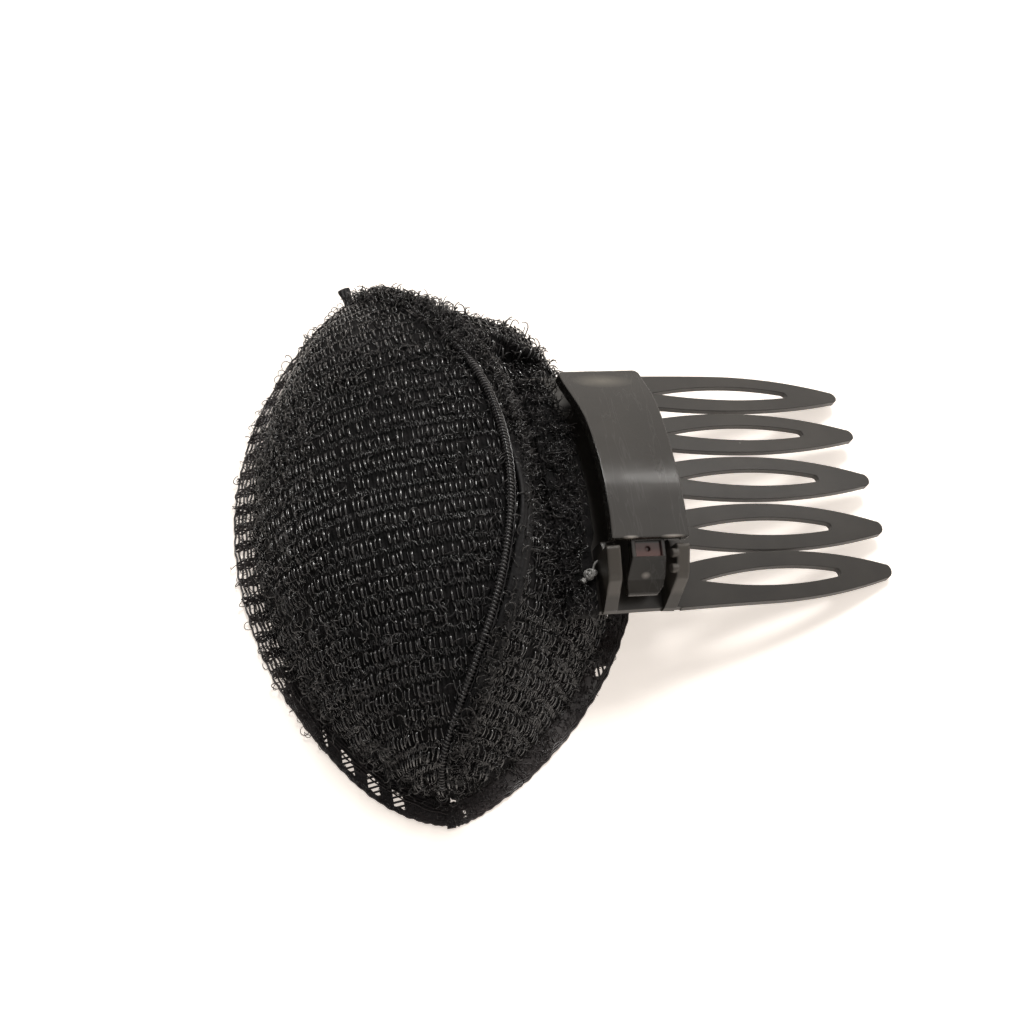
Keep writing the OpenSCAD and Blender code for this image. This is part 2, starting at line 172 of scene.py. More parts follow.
def axes(tree, vector):
    return addNode(tree, "ShaderNodeSeparateXYZ", {0: vector}).outputs


def startGroup(name, inputs, outputs):
    # An empty node group with the sockets given as name: kind or name: (kind, value)
    tree = bpy.data.node_groups.new(name, "ShaderNodeTree")
    for label, (kind, value) in inputs.items():
        socket = tree.interface.new_socket(label, in_out="INPUT", socket_type="NodeSocket" + kind)
        if value is not None:
            socket.default_value = value
    for label, kind in outputs.items():
        tree.interface.new_socket(label, in_out="OUTPUT", socket_type="NodeSocket" + kind)
    return tree, tree.nodes.new("NodeGroupInput").outputs, tree.nodes.new("NodeGroupOutput").inputs


def makeGrainGroup():
    # Fine moulding grain and cloudy wear: a soft cloud mask, a fine mask and a height
    tree, given, made = startGroup("surfaceGrain", {
        "Place": ("Vector", None), "Cloud size": ("Float", 120.0), "Grain size": ("Float", 3000.0),
    }, {"Cloud": "Float", "Grain": "Float", "Height": "Float"})
    cloud = noise(tree, given["Place"], given["Cloud size"], 3.0)
    grain = noise(tree, given["Place"], given["Grain size"], 2.0, 0.6)
    tree.links.new(spread(tree, cloud, 0.35, 0.65), made["Cloud"])
    tree.links.new(spread(tree, grain, 0.3, 0.7), made["Grain"])
    tree.links.new(calc(tree, "MULTIPLY_ADD", cloud, 0.6, grain), made["Height"])
    return tree


def makeDustGroup():
    # Small specks: cells of a Voronoi pattern, kept only where the cell's own number is low
    tree, given, made = startGroup("dustSpecks", {
        "Place": ("Vector", None), "Spacing": ("Float", 500.0), "Share": ("Float", 0.1),
        "Size": ("Float", 0.12),
    }, {"Mask": "Float"})
    cells = addNode(tree, "ShaderNodeTexVoronoi", {"Vector": given["Place"], "Scale": given["Spacing"]})
    chosen = addNode(tree, "ShaderNodeSeparateColor", {0: cells.outputs["Color"]}).outputs
    kept = calc(tree, "LESS_THAN", chosen[0], given["Share"])
    size = calc(tree, "MULTIPLY", given["Size"], calc(tree, "ADD", chosen[1], 0.5))
    near = spread(tree, cells.outputs["Distance"], size, 0.0)
    tree.links.new(calc(tree, "MULTIPLY", kept, near), made["Mask"])
    return tree


def makeScuffGroup():
    # Rubbed places and short scratches: stretched noise cut to thin lines, and cloudy dull patches
    tree, given, made = startGroup("scuffs", {
        "Place": ("Vector", None), "Patch size": ("Float", 90.0), "Scratch size": ("Float", 260.0),
    }, {"Dull": "Float", "Scratches": "Float"})
    patches = noise(tree, given["Place"], given["Patch size"], 4.0, 0.6)
    stretch = {"Vector": given["Place"], "Rotation": (0.2, 0.1, 0.5), "Scale": (1.0, 0.12, 0.6)}
    long = addNode(tree, "ShaderNodeMapping", stretch)
    lines = noise(tree, long.outputs[0], given["Scratch size"], 3.0, 0.7)
    thin = calc(tree, "ABSOLUTE", calc(tree, "SUBTRACT", lines, 0.5))
    tree.links.new(spread(tree, patches, 0.5, 0.72), made["Dull"])
    tree.links.new(spread(tree, thin, 0.012, 0.0), made["Scratches"])
    return tree


def makeFilamentGroup():
    # Change of shade along a thread: a slow change from place to place and a quick one for single strands
    tree, given, made = startGroup("filamentShade", {
        "Place": ("Vector", None), "Slow size": ("Float", 130.0), "Quick size": ("Float", 900.0),
    }, {"Slow": "Float", "Quick": "Float"})
    slow = noise(tree, given["Place"], given["Slow size"], 2.0)
    quick = noise(tree, given["Place"], given["Quick size"], 1.0)
    tree.links.new(spread(tree, slow, 0.35, 0.65), made["Slow"])
    tree.links.new(spread(tree, quick, 0.3, 0.7), made["Quick"])
    return tree


def makeKnitGroup():
    # Knit relief from net coordinates in mm: a sine across the wales, one across the courses, and fuzz
    tree, given, made = startGroup("knitRelief", {
        "Net": ("Vector", None), "Wale pitch": ("Float", 0.77), "Course pitch": ("Float", 3.35),
    }, {"Height": "Float", "Course": "Float"})
    net = axes(tree, given["Net"])
    wale = wave(tree, net[0], given["Wale pitch"])
    course = wave(tree, net[1], given["Course pitch"])
    fuzz = noise(tree, given["Net"], 2.2, 3.0, 0.7)
    courses = calc(tree, "MULTIPLY_ADD", course, 0.3, fuzz)
    tree.links.new(calc(tree, "MULTIPLY_ADD", wale, 0.25, courses), made["Height"])
    # Course: a mask along the courses, used to paint the shade of the net's open ladders into the cloth
    tree.links.new(spread(tree, course, -0.4, 0.8), made["Course"])
    return tree


groups = {
    "grain": makeGrainGroup(), "dust": makeDustGroup(), "scuff": makeScuffGroup(),
    "filament": makeFilamentGroup(), "knit": makeKnitGroup(),
}


def useGroup(tree, name, inputs):
    return addNode(tree, "ShaderNodeGroup", inputs, node_tree=groups[name]).outputs


def startMaterial(name, **plain):
    # A Principled material whose plain numbers sit on the shader's own sockets
    material = bpy.data.materials.new(name)
    material.use_nodes = True
    tree = material.node_tree
    shader = tree.nodes["Principled BSDF"]
    for label, value in plain.items():
        shader.inputs[label].default_value = value
    return material, tree, shader


def insideBox(tree, place, at, half, soft=0.9, rounded=False):
    # 1 inside a box given in the comb's frame, falling to 0 from the soft share of its half size outwards;
    # rounded makes it an ellipsoid
    boxPlace = {"Vector": place, "Location": tuple(fromComb(at) * mm),
                "Rotation": (comb["twist"], comb["pitch"], 0)}
    local = addNode(tree, "ShaderNodeMapping", boxPlace, vector_type="TEXTURE")
    parts = axes(tree, local.outputs[0])
    x, y, z = [calc(tree, "DIVIDE", calc(tree, "ABSOLUTE", parts[k]), half[k] * mm) for k in range(3)]
    if rounded:
        x, y, z = [calc(tree, "MULTIPLY", share, share) for share in (x, y, z)]
        far = calc(tree, "SQRT", calc(tree, "ADD", calc(tree, "ADD", x, y), z))
    else:
        far = calc(tree, "MAXIMUM", calc(tree, "MAXIMUM", x, y), z)
    return spread(tree, far, 1.1, soft)


def objectPlace(tree):
    return addNode(tree, "ShaderNodeTexCoord").outputs["Object"]


def bump(tree, shader, height, strength, distance, rounding=None):
    # Relief on the shader's normal, over edges rounded by the given radius in metres
    relief = addNode(tree, "ShaderNodeBump", {"Height": height, "Strength": strength, "Distance": distance})
    if rounding is not None:
        soft = addNode(tree, "ShaderNodeBevel", {"Radius": rounding}, samples=4)
        tree.links.new(soft.outputs[0], relief.inputs["Normal"])
    tree.links.new(relief.outputs[0], shader.inputs["Normal"])


def paint(tree, shader, mask, look):
    # The base colour: the look's dark where the mask is 0, its light where it is 1
    tree.links.new(blendColours(tree, mask, look["dark"], look["light"]), shader.inputs["Base Color"])


def roughen(tree, shader, value, most, look):
    # The look's range of roughness, for values from 0 to the most
    tree.links.new(spread(tree, value, 0, most, *look["roughness"]), shader.inputs["Roughness"])


def makeThreadMaterial(name, look):
    # Glossy filament whose shade and gloss change a little from strand to strand
    gloss = {"Specular IOR Level": look["shine"], "IOR": look["ior"]}
    material, tree, shader = startMaterial(name, **gloss)
    place = objectPlace(tree)
    slow, quick = look["sizes"]
    shade = useGroup(tree, "filament", {"Place": place, "Slow size": slow, "Quick size": quick})
    mask = calc(tree, "MULTIPLY_ADD", shade["Quick"], 0.5, calc(tree, "MULTIPLY", shade["Slow"], 0.5))
    paint(tree, shader, mask, look)
    roughen(tree, shader, shade["Slow"], 1, look)
    fibres = noise(tree, place, threadFibres["size"], 1.0)
    bump(tree, shader, fibres, threadFibres["relief"], threadFibres["depth"])
    return material


threadFibres = {"size": 6000.0, "relief": 0.25, "depth": 0.00004}
# sizes are the scales of the slow and the quick change of shade
threadLooks = {
    "net": {"dark": (0.006, 0.0055, 0.006, 1), "light": (0.028, 0.026, 0.027, 1), "roughness": (0.13, 0.30),
            "shine": 0.95, "ior": 1.65, "sizes": (140.0, 1100.0)},
    "hook": {"dark": (0.008, 0.007, 0.007, 1), "light": (0.028, 0.0255, 0.0255, 1),
             "roughness": (0.2, 0.38), "shine": 0.68, "ior": 1.55, "sizes": (200.0, 900.0)},
    "hem": {"dark": (0.012, 0.0085, 0.0085, 1), "light": (0.036, 0.027, 0.027, 1),
            "roughness": (0.25, 0.42), "shine": 0.6, "ior": 1.55, "sizes": (220.0, 900.0)},
    "seam": {"dark": (0.010, 0.0095, 0.010, 1), "light": (0.040, 0.037, 0.038, 1),
             "roughness": (0.22, 0.38), "shine": 0.65, "ior": 1.55, "sizes": (160.0, 1500.0)},
    "knot": {"dark": (0.15, 0.147, 0.143, 1), "light": (0.58, 0.57, 0.55, 1), "roughness": (0.15, 0.3),
             "shine": 0.7, "ior": 1.55, "sizes": (900.0, 2500.0)},
}
# the cloth's dark and light follow the courses: painted shade for the net's open ladders
clothLook = {"dark": (0.003, 0.0028, 0.003, 1), "light": (0.009, 0.008, 0.0085, 1), "roughness": 0.85,
             "shine": 0.25, "relief": 0.9, "depth": 0.00025}
bindingLook = {"dark": (0.003, 0.0027, 0.0032, 1), "light": (0.009, 0.0083, 0.009, 1),
               "roughness": (0.55, 0.75), "shine": 0.35, "linePitch": 0.62, "relief": 0.5, "depth": 0.00012}
combLook = {
    "dark": (0.019, 0.0165, 0.0138, 1), "light": (0.030, 0.0262, 0.0218, 1), "roughness": (0.32, 0.46),
    "dust": (0.22, 0.21, 0.20, 1), "relief": 0.35, "grain": 0.00002, "round": 0.00022,
    # the catch ears are painted paler as a painted highlight: place and half size in the comb's frame
    "ears": (0.070, 0.062, 0.053, 1), "earsAt": (-12.0, -17.6, 4.2), "earsHalf": (7.4, 4.2, 4.0),
    "earsRound": 0.0004,
}
barLook = {
    "dark": (0.018, 0.0158, 0.0132, 1), "light": (0.028, 0.0245, 0.0205, 1), "roughness": (0.12, 0.28),
    "specks": (0.006, 0.006, 0.006, 1), "scratch": (0.12, 0.115, 0.11, 1), "relief": 0.25, "grain": 0.00001,
    "round": 0.00035,
    # the sunk panel at the tongue's root is browner, and the far end has a painted reflection of the bright
    # far side
    "panel": (0.088, 0.034, 0.029, 1), "panelAt": (-12.0, -14.9, 4.7), "panelHalf": (2.1, 1.05, 1.3),
    "farReflection": (0.27, 0.245, 0.20, 1), "rubbedAt": (-12.6, 15.3, 4.6), "rubbedHalf": (5.0, 1.5, 3.0),
    # painted highlights on the near end's edges and the lip: place and half size in the comb's frame,
    # amount
    "paintedGlints": (0.45, 0.41, 0.37, 1), "wornAt": (
        ((-15.2, -13.7, 6.5), (1.3, 0.3, 0.6), 0.8), ((-8.3, -13.7, 6.5), (2.0, 0.3, 0.6), 0.8),
        ((-12.3, -18.0, 2.3), (0.8, 0.5, 0.8), 0.5),
    ),
}
floorLook = {
    "half": 3000.0, "low": -0.02, "cloud": 9.0,
    "dark": (0.90, 0.855, 0.815, 1), "light": (0.93, 0.89, 0.85, 1), "roughness": 0.9,
    # its glow is the overexposed floor of the photo, which keeps its shadows pale
    "glow": (1.0, 0.905, 0.82, 1), "strength": 0.62,
}


def makeClothMaterial():
    # Dull near-black knit under the threads, its relief following the wales and courses
    material, tree, shader = startMaterial(
        "netCloth", **{"Roughness": clothLook["roughness"], "Specular IOR Level": clothLook["shine"]})
    net = addNode(tree, "ShaderNodeUVMap", uv_map="net").outputs[0]
    pitches = {"Wale pitch": netLook["wale"], "Course pitch": netLook["course"]}
    knit = useGroup(tree, "knit", {"Net": net, **pitches})
    # painted shade: the colour is darker in bands along the courses, for the dark openings of the ladders
    paint(tree, shader, knit["Course"], clothLook)
    bump(tree, shader, knit["Height"], clothLook["relief"], clothLook["depth"])
    return material


def makeBindingMaterial():
    # Smooth folded net with faint lengthwise lines and a soft knit grain
    material, tree, shader = startMaterial("foldedBinding", **{"Specular IOR Level": bindingLook["shine"]})
    place = objectPlace(tree)
    shade = useGroup(tree, "filament", {"Place": place, "Slow size": 260.0, "Quick size": 1600.0})
    net = addNode(tree, "ShaderNodeUVMap", uv_map="net").outputs[0]
    lines = wave(tree, axes(tree, net)[0], bindingLook["linePitch"])
    mask = calc(tree, "MULTIPLY", calc(tree, "ADD", shade["Slow"], spread(tree, lines, -1, 1)), 0.5)
    paint(tree, shader, mask, bindingLook)
    roughen(tree, shader, shade["Slow"], 1, bindingLook)
    height = calc(tree, "MULTIPLY_ADD", lines, 0.5, shade["Quick"])
    bump(tree, shader, height, bindingLook["relief"], bindingLook["depth"])
    return material


def makeCombMaterial():
    # Satin moulded plastic with cloudy shade, fine grain and a little light dust
    material, tree, shader = startMaterial("combPlastic", **{"Specular IOR Level": 0.5})
    place = objectPlace(tree)
    grain = useGroup(tree, "grain", {"Place": place, "Cloud size": 110.0, "Grain size": 4200.0})
    dust = useGroup(tree, "dust", {"Place": place, "Spacing": 420.0, "Share": 0.06, "Size": 0.10})
    scuff = useGroup(tree, "scuff", {"Place": place, "Patch size": 130.0, "Scratch size": 300.0})
    body = blendColours(tree, grain["Cloud"], combLook["dark"], combLook["light"])
    # painted highlight: the catch ears are painted paler, and their edges get a wider rounding
    ears = insideBox(tree, place, combLook["earsAt"], combLook["earsHalf"], 0.85)
    body = blendColours(tree, ears, body, combLook["ears"])
    dusty = calc(tree, "MULTIPLY", dust["Mask"], 0.6)
    tree.links.new(blendColours(tree, dusty, body, combLook["dust"]), shader.inputs["Base Color"])
    roughen(tree, shader, calc(tree, "ADD", scuff["Dull"], grain["Grain"]), 2, combLook)
    rounding = calc(tree, "MULTIPLY_ADD", ears, combLook["earsRound"], combLook["round"])
    bump(tree, shader, grain["Height"], combLook["relief"], combLook["grain"], rounding)
    return material


def makeBarMaterial():
    # Polished moulded plastic, scuffed dull in patches, with short scratches and dark specks
    material, tree, shader = startMaterial("barPlastic", **{"Specular IOR Level": 0.55})
    place = objectPlace(tree)
    grain = useGroup(tree, "grain", {"Place": place, "Cloud size": 70.0, "Grain size": 5200.0})
    specks = useGroup(tree, "dust", {"Place": place, "Spacing": 330.0, "Share": 0.05, "Size": 0.12})
    scuff = useGroup(tree, "scuff", {"Place": place, "Patch size": 95.0, "Scratch size": 240.0})
    colour = blendColours(tree, grain["Cloud"], barLook["dark"], barLook["light"])
    scratches = calc(tree, "MULTIPLY", scuff["Scratches"], 0.12)
    # painted reflection at the far end, broken up by the scuff noise
    farReflection = insideBox(tree, place, barLook["rubbedAt"], barLook["rubbedHalf"], 0.0, True)
    farReflection = calc(tree, "MULTIPLY", farReflection, calc(tree, "MULTIPLY_ADD", scuff["Dull"], 0.6, 0.4))
    panel = insideBox(tree, place, barLook["panelAt"], barLook["panelHalf"])
    spots = calc(tree, "MULTIPLY", specks["Mask"], 0.7)
    for mask, name in ((scratches, "scratch"), (spots, "specks"), (farReflection, "farReflection"), (panel, "panel")):
        colour = blendColours(tree, mask, colour, barLook[name])
    # painted highlights on the near end's edges and the lip
    for at, half, amount in barLook["wornAt"]:
        mask = calc(tree, "MULTIPLY", insideBox(tree, place, at, half, 0.2, True), amount)
        colour = blendColours(tree, mask, colour, barLook["paintedGlints"])
    tree.links.new(colour, shader.inputs["Base Color"])
    dull = calc(tree, "MULTIPLY_ADD", grain["Grain"], 0.25, scuff["Dull"])
    roughen(tree, shader, dull, 1.25, barLook)
    bump(tree, shader, grain["Height"], barLook["relief"], barLook["grain"], barLook["round"])
    return material


def makeFloorMaterial():
    material, tree, shader = startMaterial("paleFloor", **{
        "Roughness": floorLook["roughness"], "Emission Color": floorLook["glow"],
        "Emission Strength": floorLook["strength"]})
    cloud = noise(tree, objectPlace(tree), floorLook["cloud"], 3.0)
    paint(tree, shader, cloud, floorLook)
    return material


# The net's pitches in mm: wales run across the comb's teeth, courses along them
netLook = {"wale": 0.77, "course": 3.35}

materials = {name: makeThreadMaterial(name + "Thread", look) for name, look in threadLooks.items()}
materials["cloth"] = makeClothMaterial()
materials["binding"] = makeBindingMaterial()
materials["comb"] = makeCombMaterial()
materials["bar"] = makeBarMaterial()
materials["floor"] = makeFloorMaterial()
print("materials made:", len(materials))


def makePiece(name, points, faces, material, slot=None, uv=None):
    # points in mm, faces a list of index arrays, one row for each face; uv one pair for each point
    corners = np.concatenate([block.reshape(-1) for block in faces]).astype(np.int32)
    sizes = np.concatenate([np.full(len(block), block.shape[1]) for block in faces])
    mesh = bpy.data.meshes.new(name)
    mesh.vertices.add(len(points))
    mesh.vertices.foreach_set("co", (points * mm).astype(np.float32).ravel())
    mesh.loops.add(len(corners))
    mesh.loops.foreach_set("vertex_index", corners)
    mesh.polygons.add(len(sizes))
    mesh.polygons.foreach_set("loop_start", (np.cumsum(sizes) - sizes).astype(np.int32))
    mesh.polygons.foreach_set("use_smooth", np.ones(len(sizes), dtype=bool))
    mesh.update(calc_edges=True)
    if uv is not None:
        layer = mesh.uv_layers.new(name="net")
        layer.data.foreach_set("uv", uv[corners].astype(np.float32).ravel())
    mesh.materials.append(materials[material])
    piece = bpy.data.objects.new(name, mesh)
    bpy.context.scene.collection.objects.link(piece)
    if slot:
        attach(piece, "root")
    print("piece", name, "triangles", int((sizes - 2).sum()))
    return piece


def unit(vectors):
    return vectors / np.maximum(np.linalg.norm(vectors, axis=-1, keepdims=True), 1e-9)


def lengthsAlong(points, axis=0):
    # Running length along a line or along each row of points, from 0
    steps = np.linalg.norm(np.diff(points, axis=axis), axis=-1).cumsum(axis)
    return np.insert(steps, 0, 0.0, axis=axis)


def ringFaces(rows, rings, sides):
    # Quads between the neighbouring rings of each row, and a cap at both of its ends
    start = (np.arange(rows) * rings * sides)[:, None, None]
    row = start + (np.arange(rings - 1) * sides)[None, :, None]
    here = row + np.arange(sides)
    after = row + (np.arange(sides) + 1) % sides
    walls = np.stack([here, here + sides, after + sides, after], axis=-1).reshape(-1, 4)
    first = start[:, 0] + np.arange(sides)
    last = first[:, ::-1] + (rings - 1) * sides
    return [walls, np.concatenate([first, last])]


def tubes(paths, radius, sides, facing=(0, 0, 1)):
    # A round thread along each path: at every point of a path a ring of the radius stands square to the
    # path, turned so that its first point lies across the facing direction; both ends are closed
    paths = np.asarray(paths, dtype=float)
    count, steps = paths.shape[:2]
    run = unit(np.gradient(paths, axis=1))
    across = unit(np.cross(run, np.broadcast_to(facing, paths.shape)))
    up = np.cross(across, run)
    angle = 2 * np.pi * np.arange(sides) / sides
    size = np.broadcast_to(radius, (count, steps))[..., None, None]
    ring = np.cos(angle)[:, None] * across[:, :, None] + np.sin(angle)[:, None] * up[:, :, None]
    return (paths[:, :, None] + size * ring).reshape(-1, 3), ringFaces(count, steps, sides)


def joined(parts):
    # Several (points, faces) pairs as one, with the indices of each moved past those before it
    points, faces, offset = [], [], 0
    for some, blocks in parts:
        faces += [block + offset for block in blocks]
        points.append(some)
        offset += len(some)
    return np.concatenate(points), faces


def gridQuads(index):
    corners = [index[:-1, :-1], index[1:, :-1], index[1:, 1:], index[:-1, 1:]]
    return np.stack(corners, axis=-1).reshape(-1, 4)


def shell(outer, inner, flip=False):
    # A closed wall between two grids of points, rows by columns, joined round their edge
    under = outer.shape[0] * outer.shape[1]
    index = np.arange(under).reshape(outer.shape[:2])
    edge = np.concatenate([index[0, :-1], index[:-1, -1], index[-1, :0:-1], index[:0:-1, 0]])
    ahead = np.roll(edge, -1)
    rim = np.stack([edge, ahead, ahead + under, edge + under], axis=-1)
    faces = [gridQuads(index), gridQuads(index)[:, ::-1] + under, rim]
    if flip:
        faces = [block[:, ::-1] for block in faces]
    return np.concatenate([outer.reshape(-1, 3), inner.reshape(-1, 3)]), faces


def sweep(sections):
    # A closed skin over a row of sections, each a ring with the same number of points
    return sections.reshape(-1, 3), ringFaces(1, *sections.shape[:2])


# The pad's form, with the values and rules of the part's source, in mm
pad = {
    "tipX": -25.4, "lean": 1.0, "middleY": -0.9,
    "dome": (45.7, 23.4, 34.6),     # half its length, and its reach to the left and towards the comb
    "ridgeHeight": 28.6, "ridgeOut": 17.4, "ridgeSway": 9.0, "seamGap": 0.2, "wall": 2.2, "tipAngle": 86.0,
    "heightPower": 0.52, "leftPowers": (0.65, 0.8), "rightPowers": (0.73, 0.66), "ridgePowers": (1.3, 1.07),
    "seatPower": 1.65, "sidePowers": (1.3, 0.85), "sideFrom": 22, "seatGap": 0.5, "seatRise": 1.6,
    "seatMargin": 1.2, "seatEndMargin": 4.0, "hemWidth": 3.4,
}


def bow(s, power):
    # Rounded-lens rule: 1 in the middle of the pad, 0 at its tips
    return np.maximum(0, 1 - s * s) ** power


def halfPower(powers, s):
    return np.where(s > 0, powers[1], powers[0])


def tipX(s):
    return pad["tipX"] - pad["lean"] * s


def ridgeX(s):
    # The seam's place across the pad: it bows out and swings further before the near tip
    sway = np.where(s < 0, pad["ridgeSway"] * s ** 6 * bow(s, 0.5), 0)
    return tipX(s) + pad["ridgeOut"] * bow(s, halfPower(pad["ridgePowers"], s)) - sway


def rimReach(near, s, grow):
    # From the tips' line out to the rim, on the near left side or on the comb's, grown outwards
    reach = np.where(near, pad["dome"][1], pad["dome"][2])
    power = np.where(near, halfPower(pad["leftPowers"], s), halfPower(pad["rightPowers"], s))
    return (reach + grow) * bow(s, power)


def plateUnder(x, y):
    # Underside of the comb's plate: sloped, arched across and a little sagged lengthwise
    dx, dy = x - comb["at"][0], y - comb["at"][1]
    fall = dy * dy / (2 * comb["archRadius"]) + dx * dx / (2 * comb["sagRadius"])
    return (comb["at"][2] - dx * math.tan(comb["pitch"]) + dy * math.sin(comb["twist"]) - fall
            - comb["thickness"] / math.cos(comb["pitch"]))


def seatHeight(x, y):
    # Height that the plate leaves to the pad: under it, and rising steeply beside its edges
    dy = y - comb["at"][1]
    sag = comb["plateDepth"] ** 2 / (2 * comb["sagRadius"])
    drop = dy * dy / (2 * comb["archRadius"]) + sag + comb["thickness"]
    left = comb["at"][0] - comb["plateDepth"] * math.cos(comb["pitch"]) - drop * math.sin(comb["pitch"])
    start = left - pad["seatMargin"]
    past = np.abs(dy) - comb["halfWidth"] - pad["seatEndMargin"]
    beside = np.maximum(0, start - x) + np.maximum(0, past)
    return plateUnder(np.maximum(x, start), y) - pad["seatGap"] + pad["seatRise"] * beside


def backPower(y):
    # Fullness of the back panel's curve: flatter by the plate, rounder towards the tips
    d = y - comb["at"][1]
    r = np.minimum(1, np.abs(d) / pad["sideFrom"])
    return pad["seatPower"] + (halfPower(pad["sidePowers"], d) - pad["seatPower"]) * r * r * (3 - 2 * r)


def frontPoint(s, u, inset=0.0):
    # Quarter ellipse from the rim (u 0) up to the ridge (u 1), s from -1 to 1 between the tips
    s, u = np.broadcast_arrays(np.asarray(s, float), np.asarray(u, float))
    height = (pad["ridgeHeight"] - inset) * bow(s, pad["heightPower"])
    right = ridgeX(s)
    left = tipX(s) - rimReach(True, s, -inset)
    a = u * np.pi / 2
    y = pad["middleY"] + (pad["dome"][0] - inset) * s
    return np.stack([right - (right - left) * np.cos(a), y, height * np.sin(a)], axis=-1)


def backPoint(s, u, inset=0.0):
    # The same with a changing fullness, from the rim under the comb up to the ridge, held under the plate
    s, u = np.broadcast_arrays(np.asarray(s, float), np.asarray(u, float))
    y = pad["middleY"] + (pad["dome"][0] - inset) * s
    height = (pad["ridgeHeight"] - inset) * bow(s, pad["heightPower"])
    top = ridgeX(s) + pad["seamGap"]
    rim = tipX(s) + rimReach(False, s, -inset)
    power = backPower(y)
    a = np.clip(u, 0, 1) * np.pi / 2
    x = top + (rim - top) * np.cos(a) ** power
    return np.stack([x, y, np.minimum(height * np.sin(a) ** power, seatHeight(x, y) - inset)], axis=-1)


def normalAt(panel, s, u, step=0.004):
    # Outward direction: the cross product of the surface's two slopes, over the given step of u
    s, u = np.clip(s, -0.997, 0.997), np.clip(u, step, 1 - step)
    rise = panel["surface"](s, u + step) - panel["surface"](s, u - step)
    run = panel["surface"](s + 0.5 * step, u) - panel["surface"](s - 0.5 * step, u)
    return unit(np.cross(rise, run)) * panel["side"]


netTable = {"rows": 241, "cols": 241, "widths": 401, "middle": 96}


def mapNet(surface, side):
    # Net coordinates on a panel. v is the length along the panel from its middle towards the far tip, and w
    # the length across it: from the tips' line on the front panel, from the seam on the back panel
    turn = np.radians(np.linspace(-pad["tipAngle"], pad["tipAngle"], netTable["rows"]))
    u = np.linspace(0, 1, netTable["cols"])
    grid = surface(np.sin(turn)[:, None], u[None, :])
    across = lengthsAlong(grid, 1)
    along = lengthsAlong(grid[:, netTable["middle"]])
    along -= along[len(turn) // 2]
    if side > 0:
        rows = zip(turn, grid, across)
        zero = [np.interp(tipX(math.sin(t)), row[:, 0], lengths) for t, row, lengths in rows]
        across = across - np.array(zero)[:, None]
    else:
        across = (across[:, -1:] - across)[:, ::-1]
        u = u[::-1]
    low, high = across[:, 0], across[:, -1]
    steps = np.linspace(low.min(), high.max(), netTable["widths"])
    table = np.array([np.interp(steps, lengths, u) for lengths in across])
    return {"surface": surface, "side": side, "turn": turn, "along": along, "low": low, "high": high,
            "steps": steps, "table": table}


def netToPanel(panel, w, v):
    # The panel's s and u at net coordinates, by straight interpolation in the table
    turn = np.interp(v, panel["along"], panel["turn"])
    row = (turn - panel["turn"][0]) / (panel["turn"][1] - panel["turn"][0])
    col = (w - panel["steps"][0]) / (panel["steps"][1] - panel["steps"][0])
    row = np.clip(row, 0, len(panel["turn"]) - 1.001)
    col = np.clip(col, 0, len(panel["steps"]) - 1.001)
    i, j = row.astype(int), col.astype(int)
    a, b = row - i, col - j
    table = panel["table"]
    u = ((1 - a) * ((1 - b) * table[i, j] + b * table[i, j + 1])
         + a * ((1 - b) * table[i + 1, j] + b * table[i + 1, j + 1]))
    return np.sin(turn), u


def roomAt(panel, v):
    # The lowest and highest w that the panel has at v
    return np.interp(v, panel["along"], panel["low"]), np.interp(v, panel["along"], panel["high"])


def onPanel(panel, w, v, lift):
    # Places at net coordinates, lifted off the panel along its outward direction
    s, u = netToPanel(panel, w, v)
    place = pressed(panel, s, u) + np.asarray(lift)[..., None] * normalAt(panel, s, u)
    place[..., 2] = np.maximum(place[..., 2], 0.25)
    return place


# Soft hollows that hands and the seam have left: s, u, size and depth in mm
dents = {
    1: [(0.42, 0.45, 0.20, 0.9), (-0.35, 0.32, 0.24, 0.5), (-0.05, 0.80, 0.16, 0.4), (0.1, 0.15, 0.2, 0.4),
        (-0.62, 0.6, 0.16, 0.5), (0.86, 0.75, 0.2, 0.9)],
    # the last one is a bulge by the plate's far corner
    -1: [(0.1, 0.72, 0.18, 0.3), (0.86, 0.62, 0.2, 1.2), (0.56, 0.36, 0.165, -1.6)],
}


def dentAt(s, u, panel):
    # Sum of bell-shaped hollows; none at the rim, the seam or the tips
    depth = np.zeros(np.shape(s))
    for atS, atU, size, deep in dents[panel["side"]]:
        depth = depth + deep * np.exp(-((s - atS) ** 2 + (u - atU) ** 2) / (size * size))
    return depth * np.clip(u * 8, 0, 1) * np.clip((1 - u) * 8, 0, 1) * np.clip((1 - np.abs(s)) * 10, 0, 1)


def pressed(panel, s, u):
    # The panel's surface moved in by its hollows, along the direction outwards of a wider patch
    return panel["surface"](s, u) - dentAt(s, u, panel)[..., None] * normalAt(panel, s, u, 0.06)


panels = {"front": mapNet(frontPoint, 1), "back": mapNet(backPoint, -1)}
for name, panel in panels.items():
    print("panel", name, "along", np.round(panel["along"][[0, -1]], 1),
          "across", np.round(panel["steps"][[0, -1]], 1))


# The padded walls of the dome
clothSize = {"rows": 161, "cols": 81, "inset": 0.12, "relief": 0.12, "foot": 0.02}


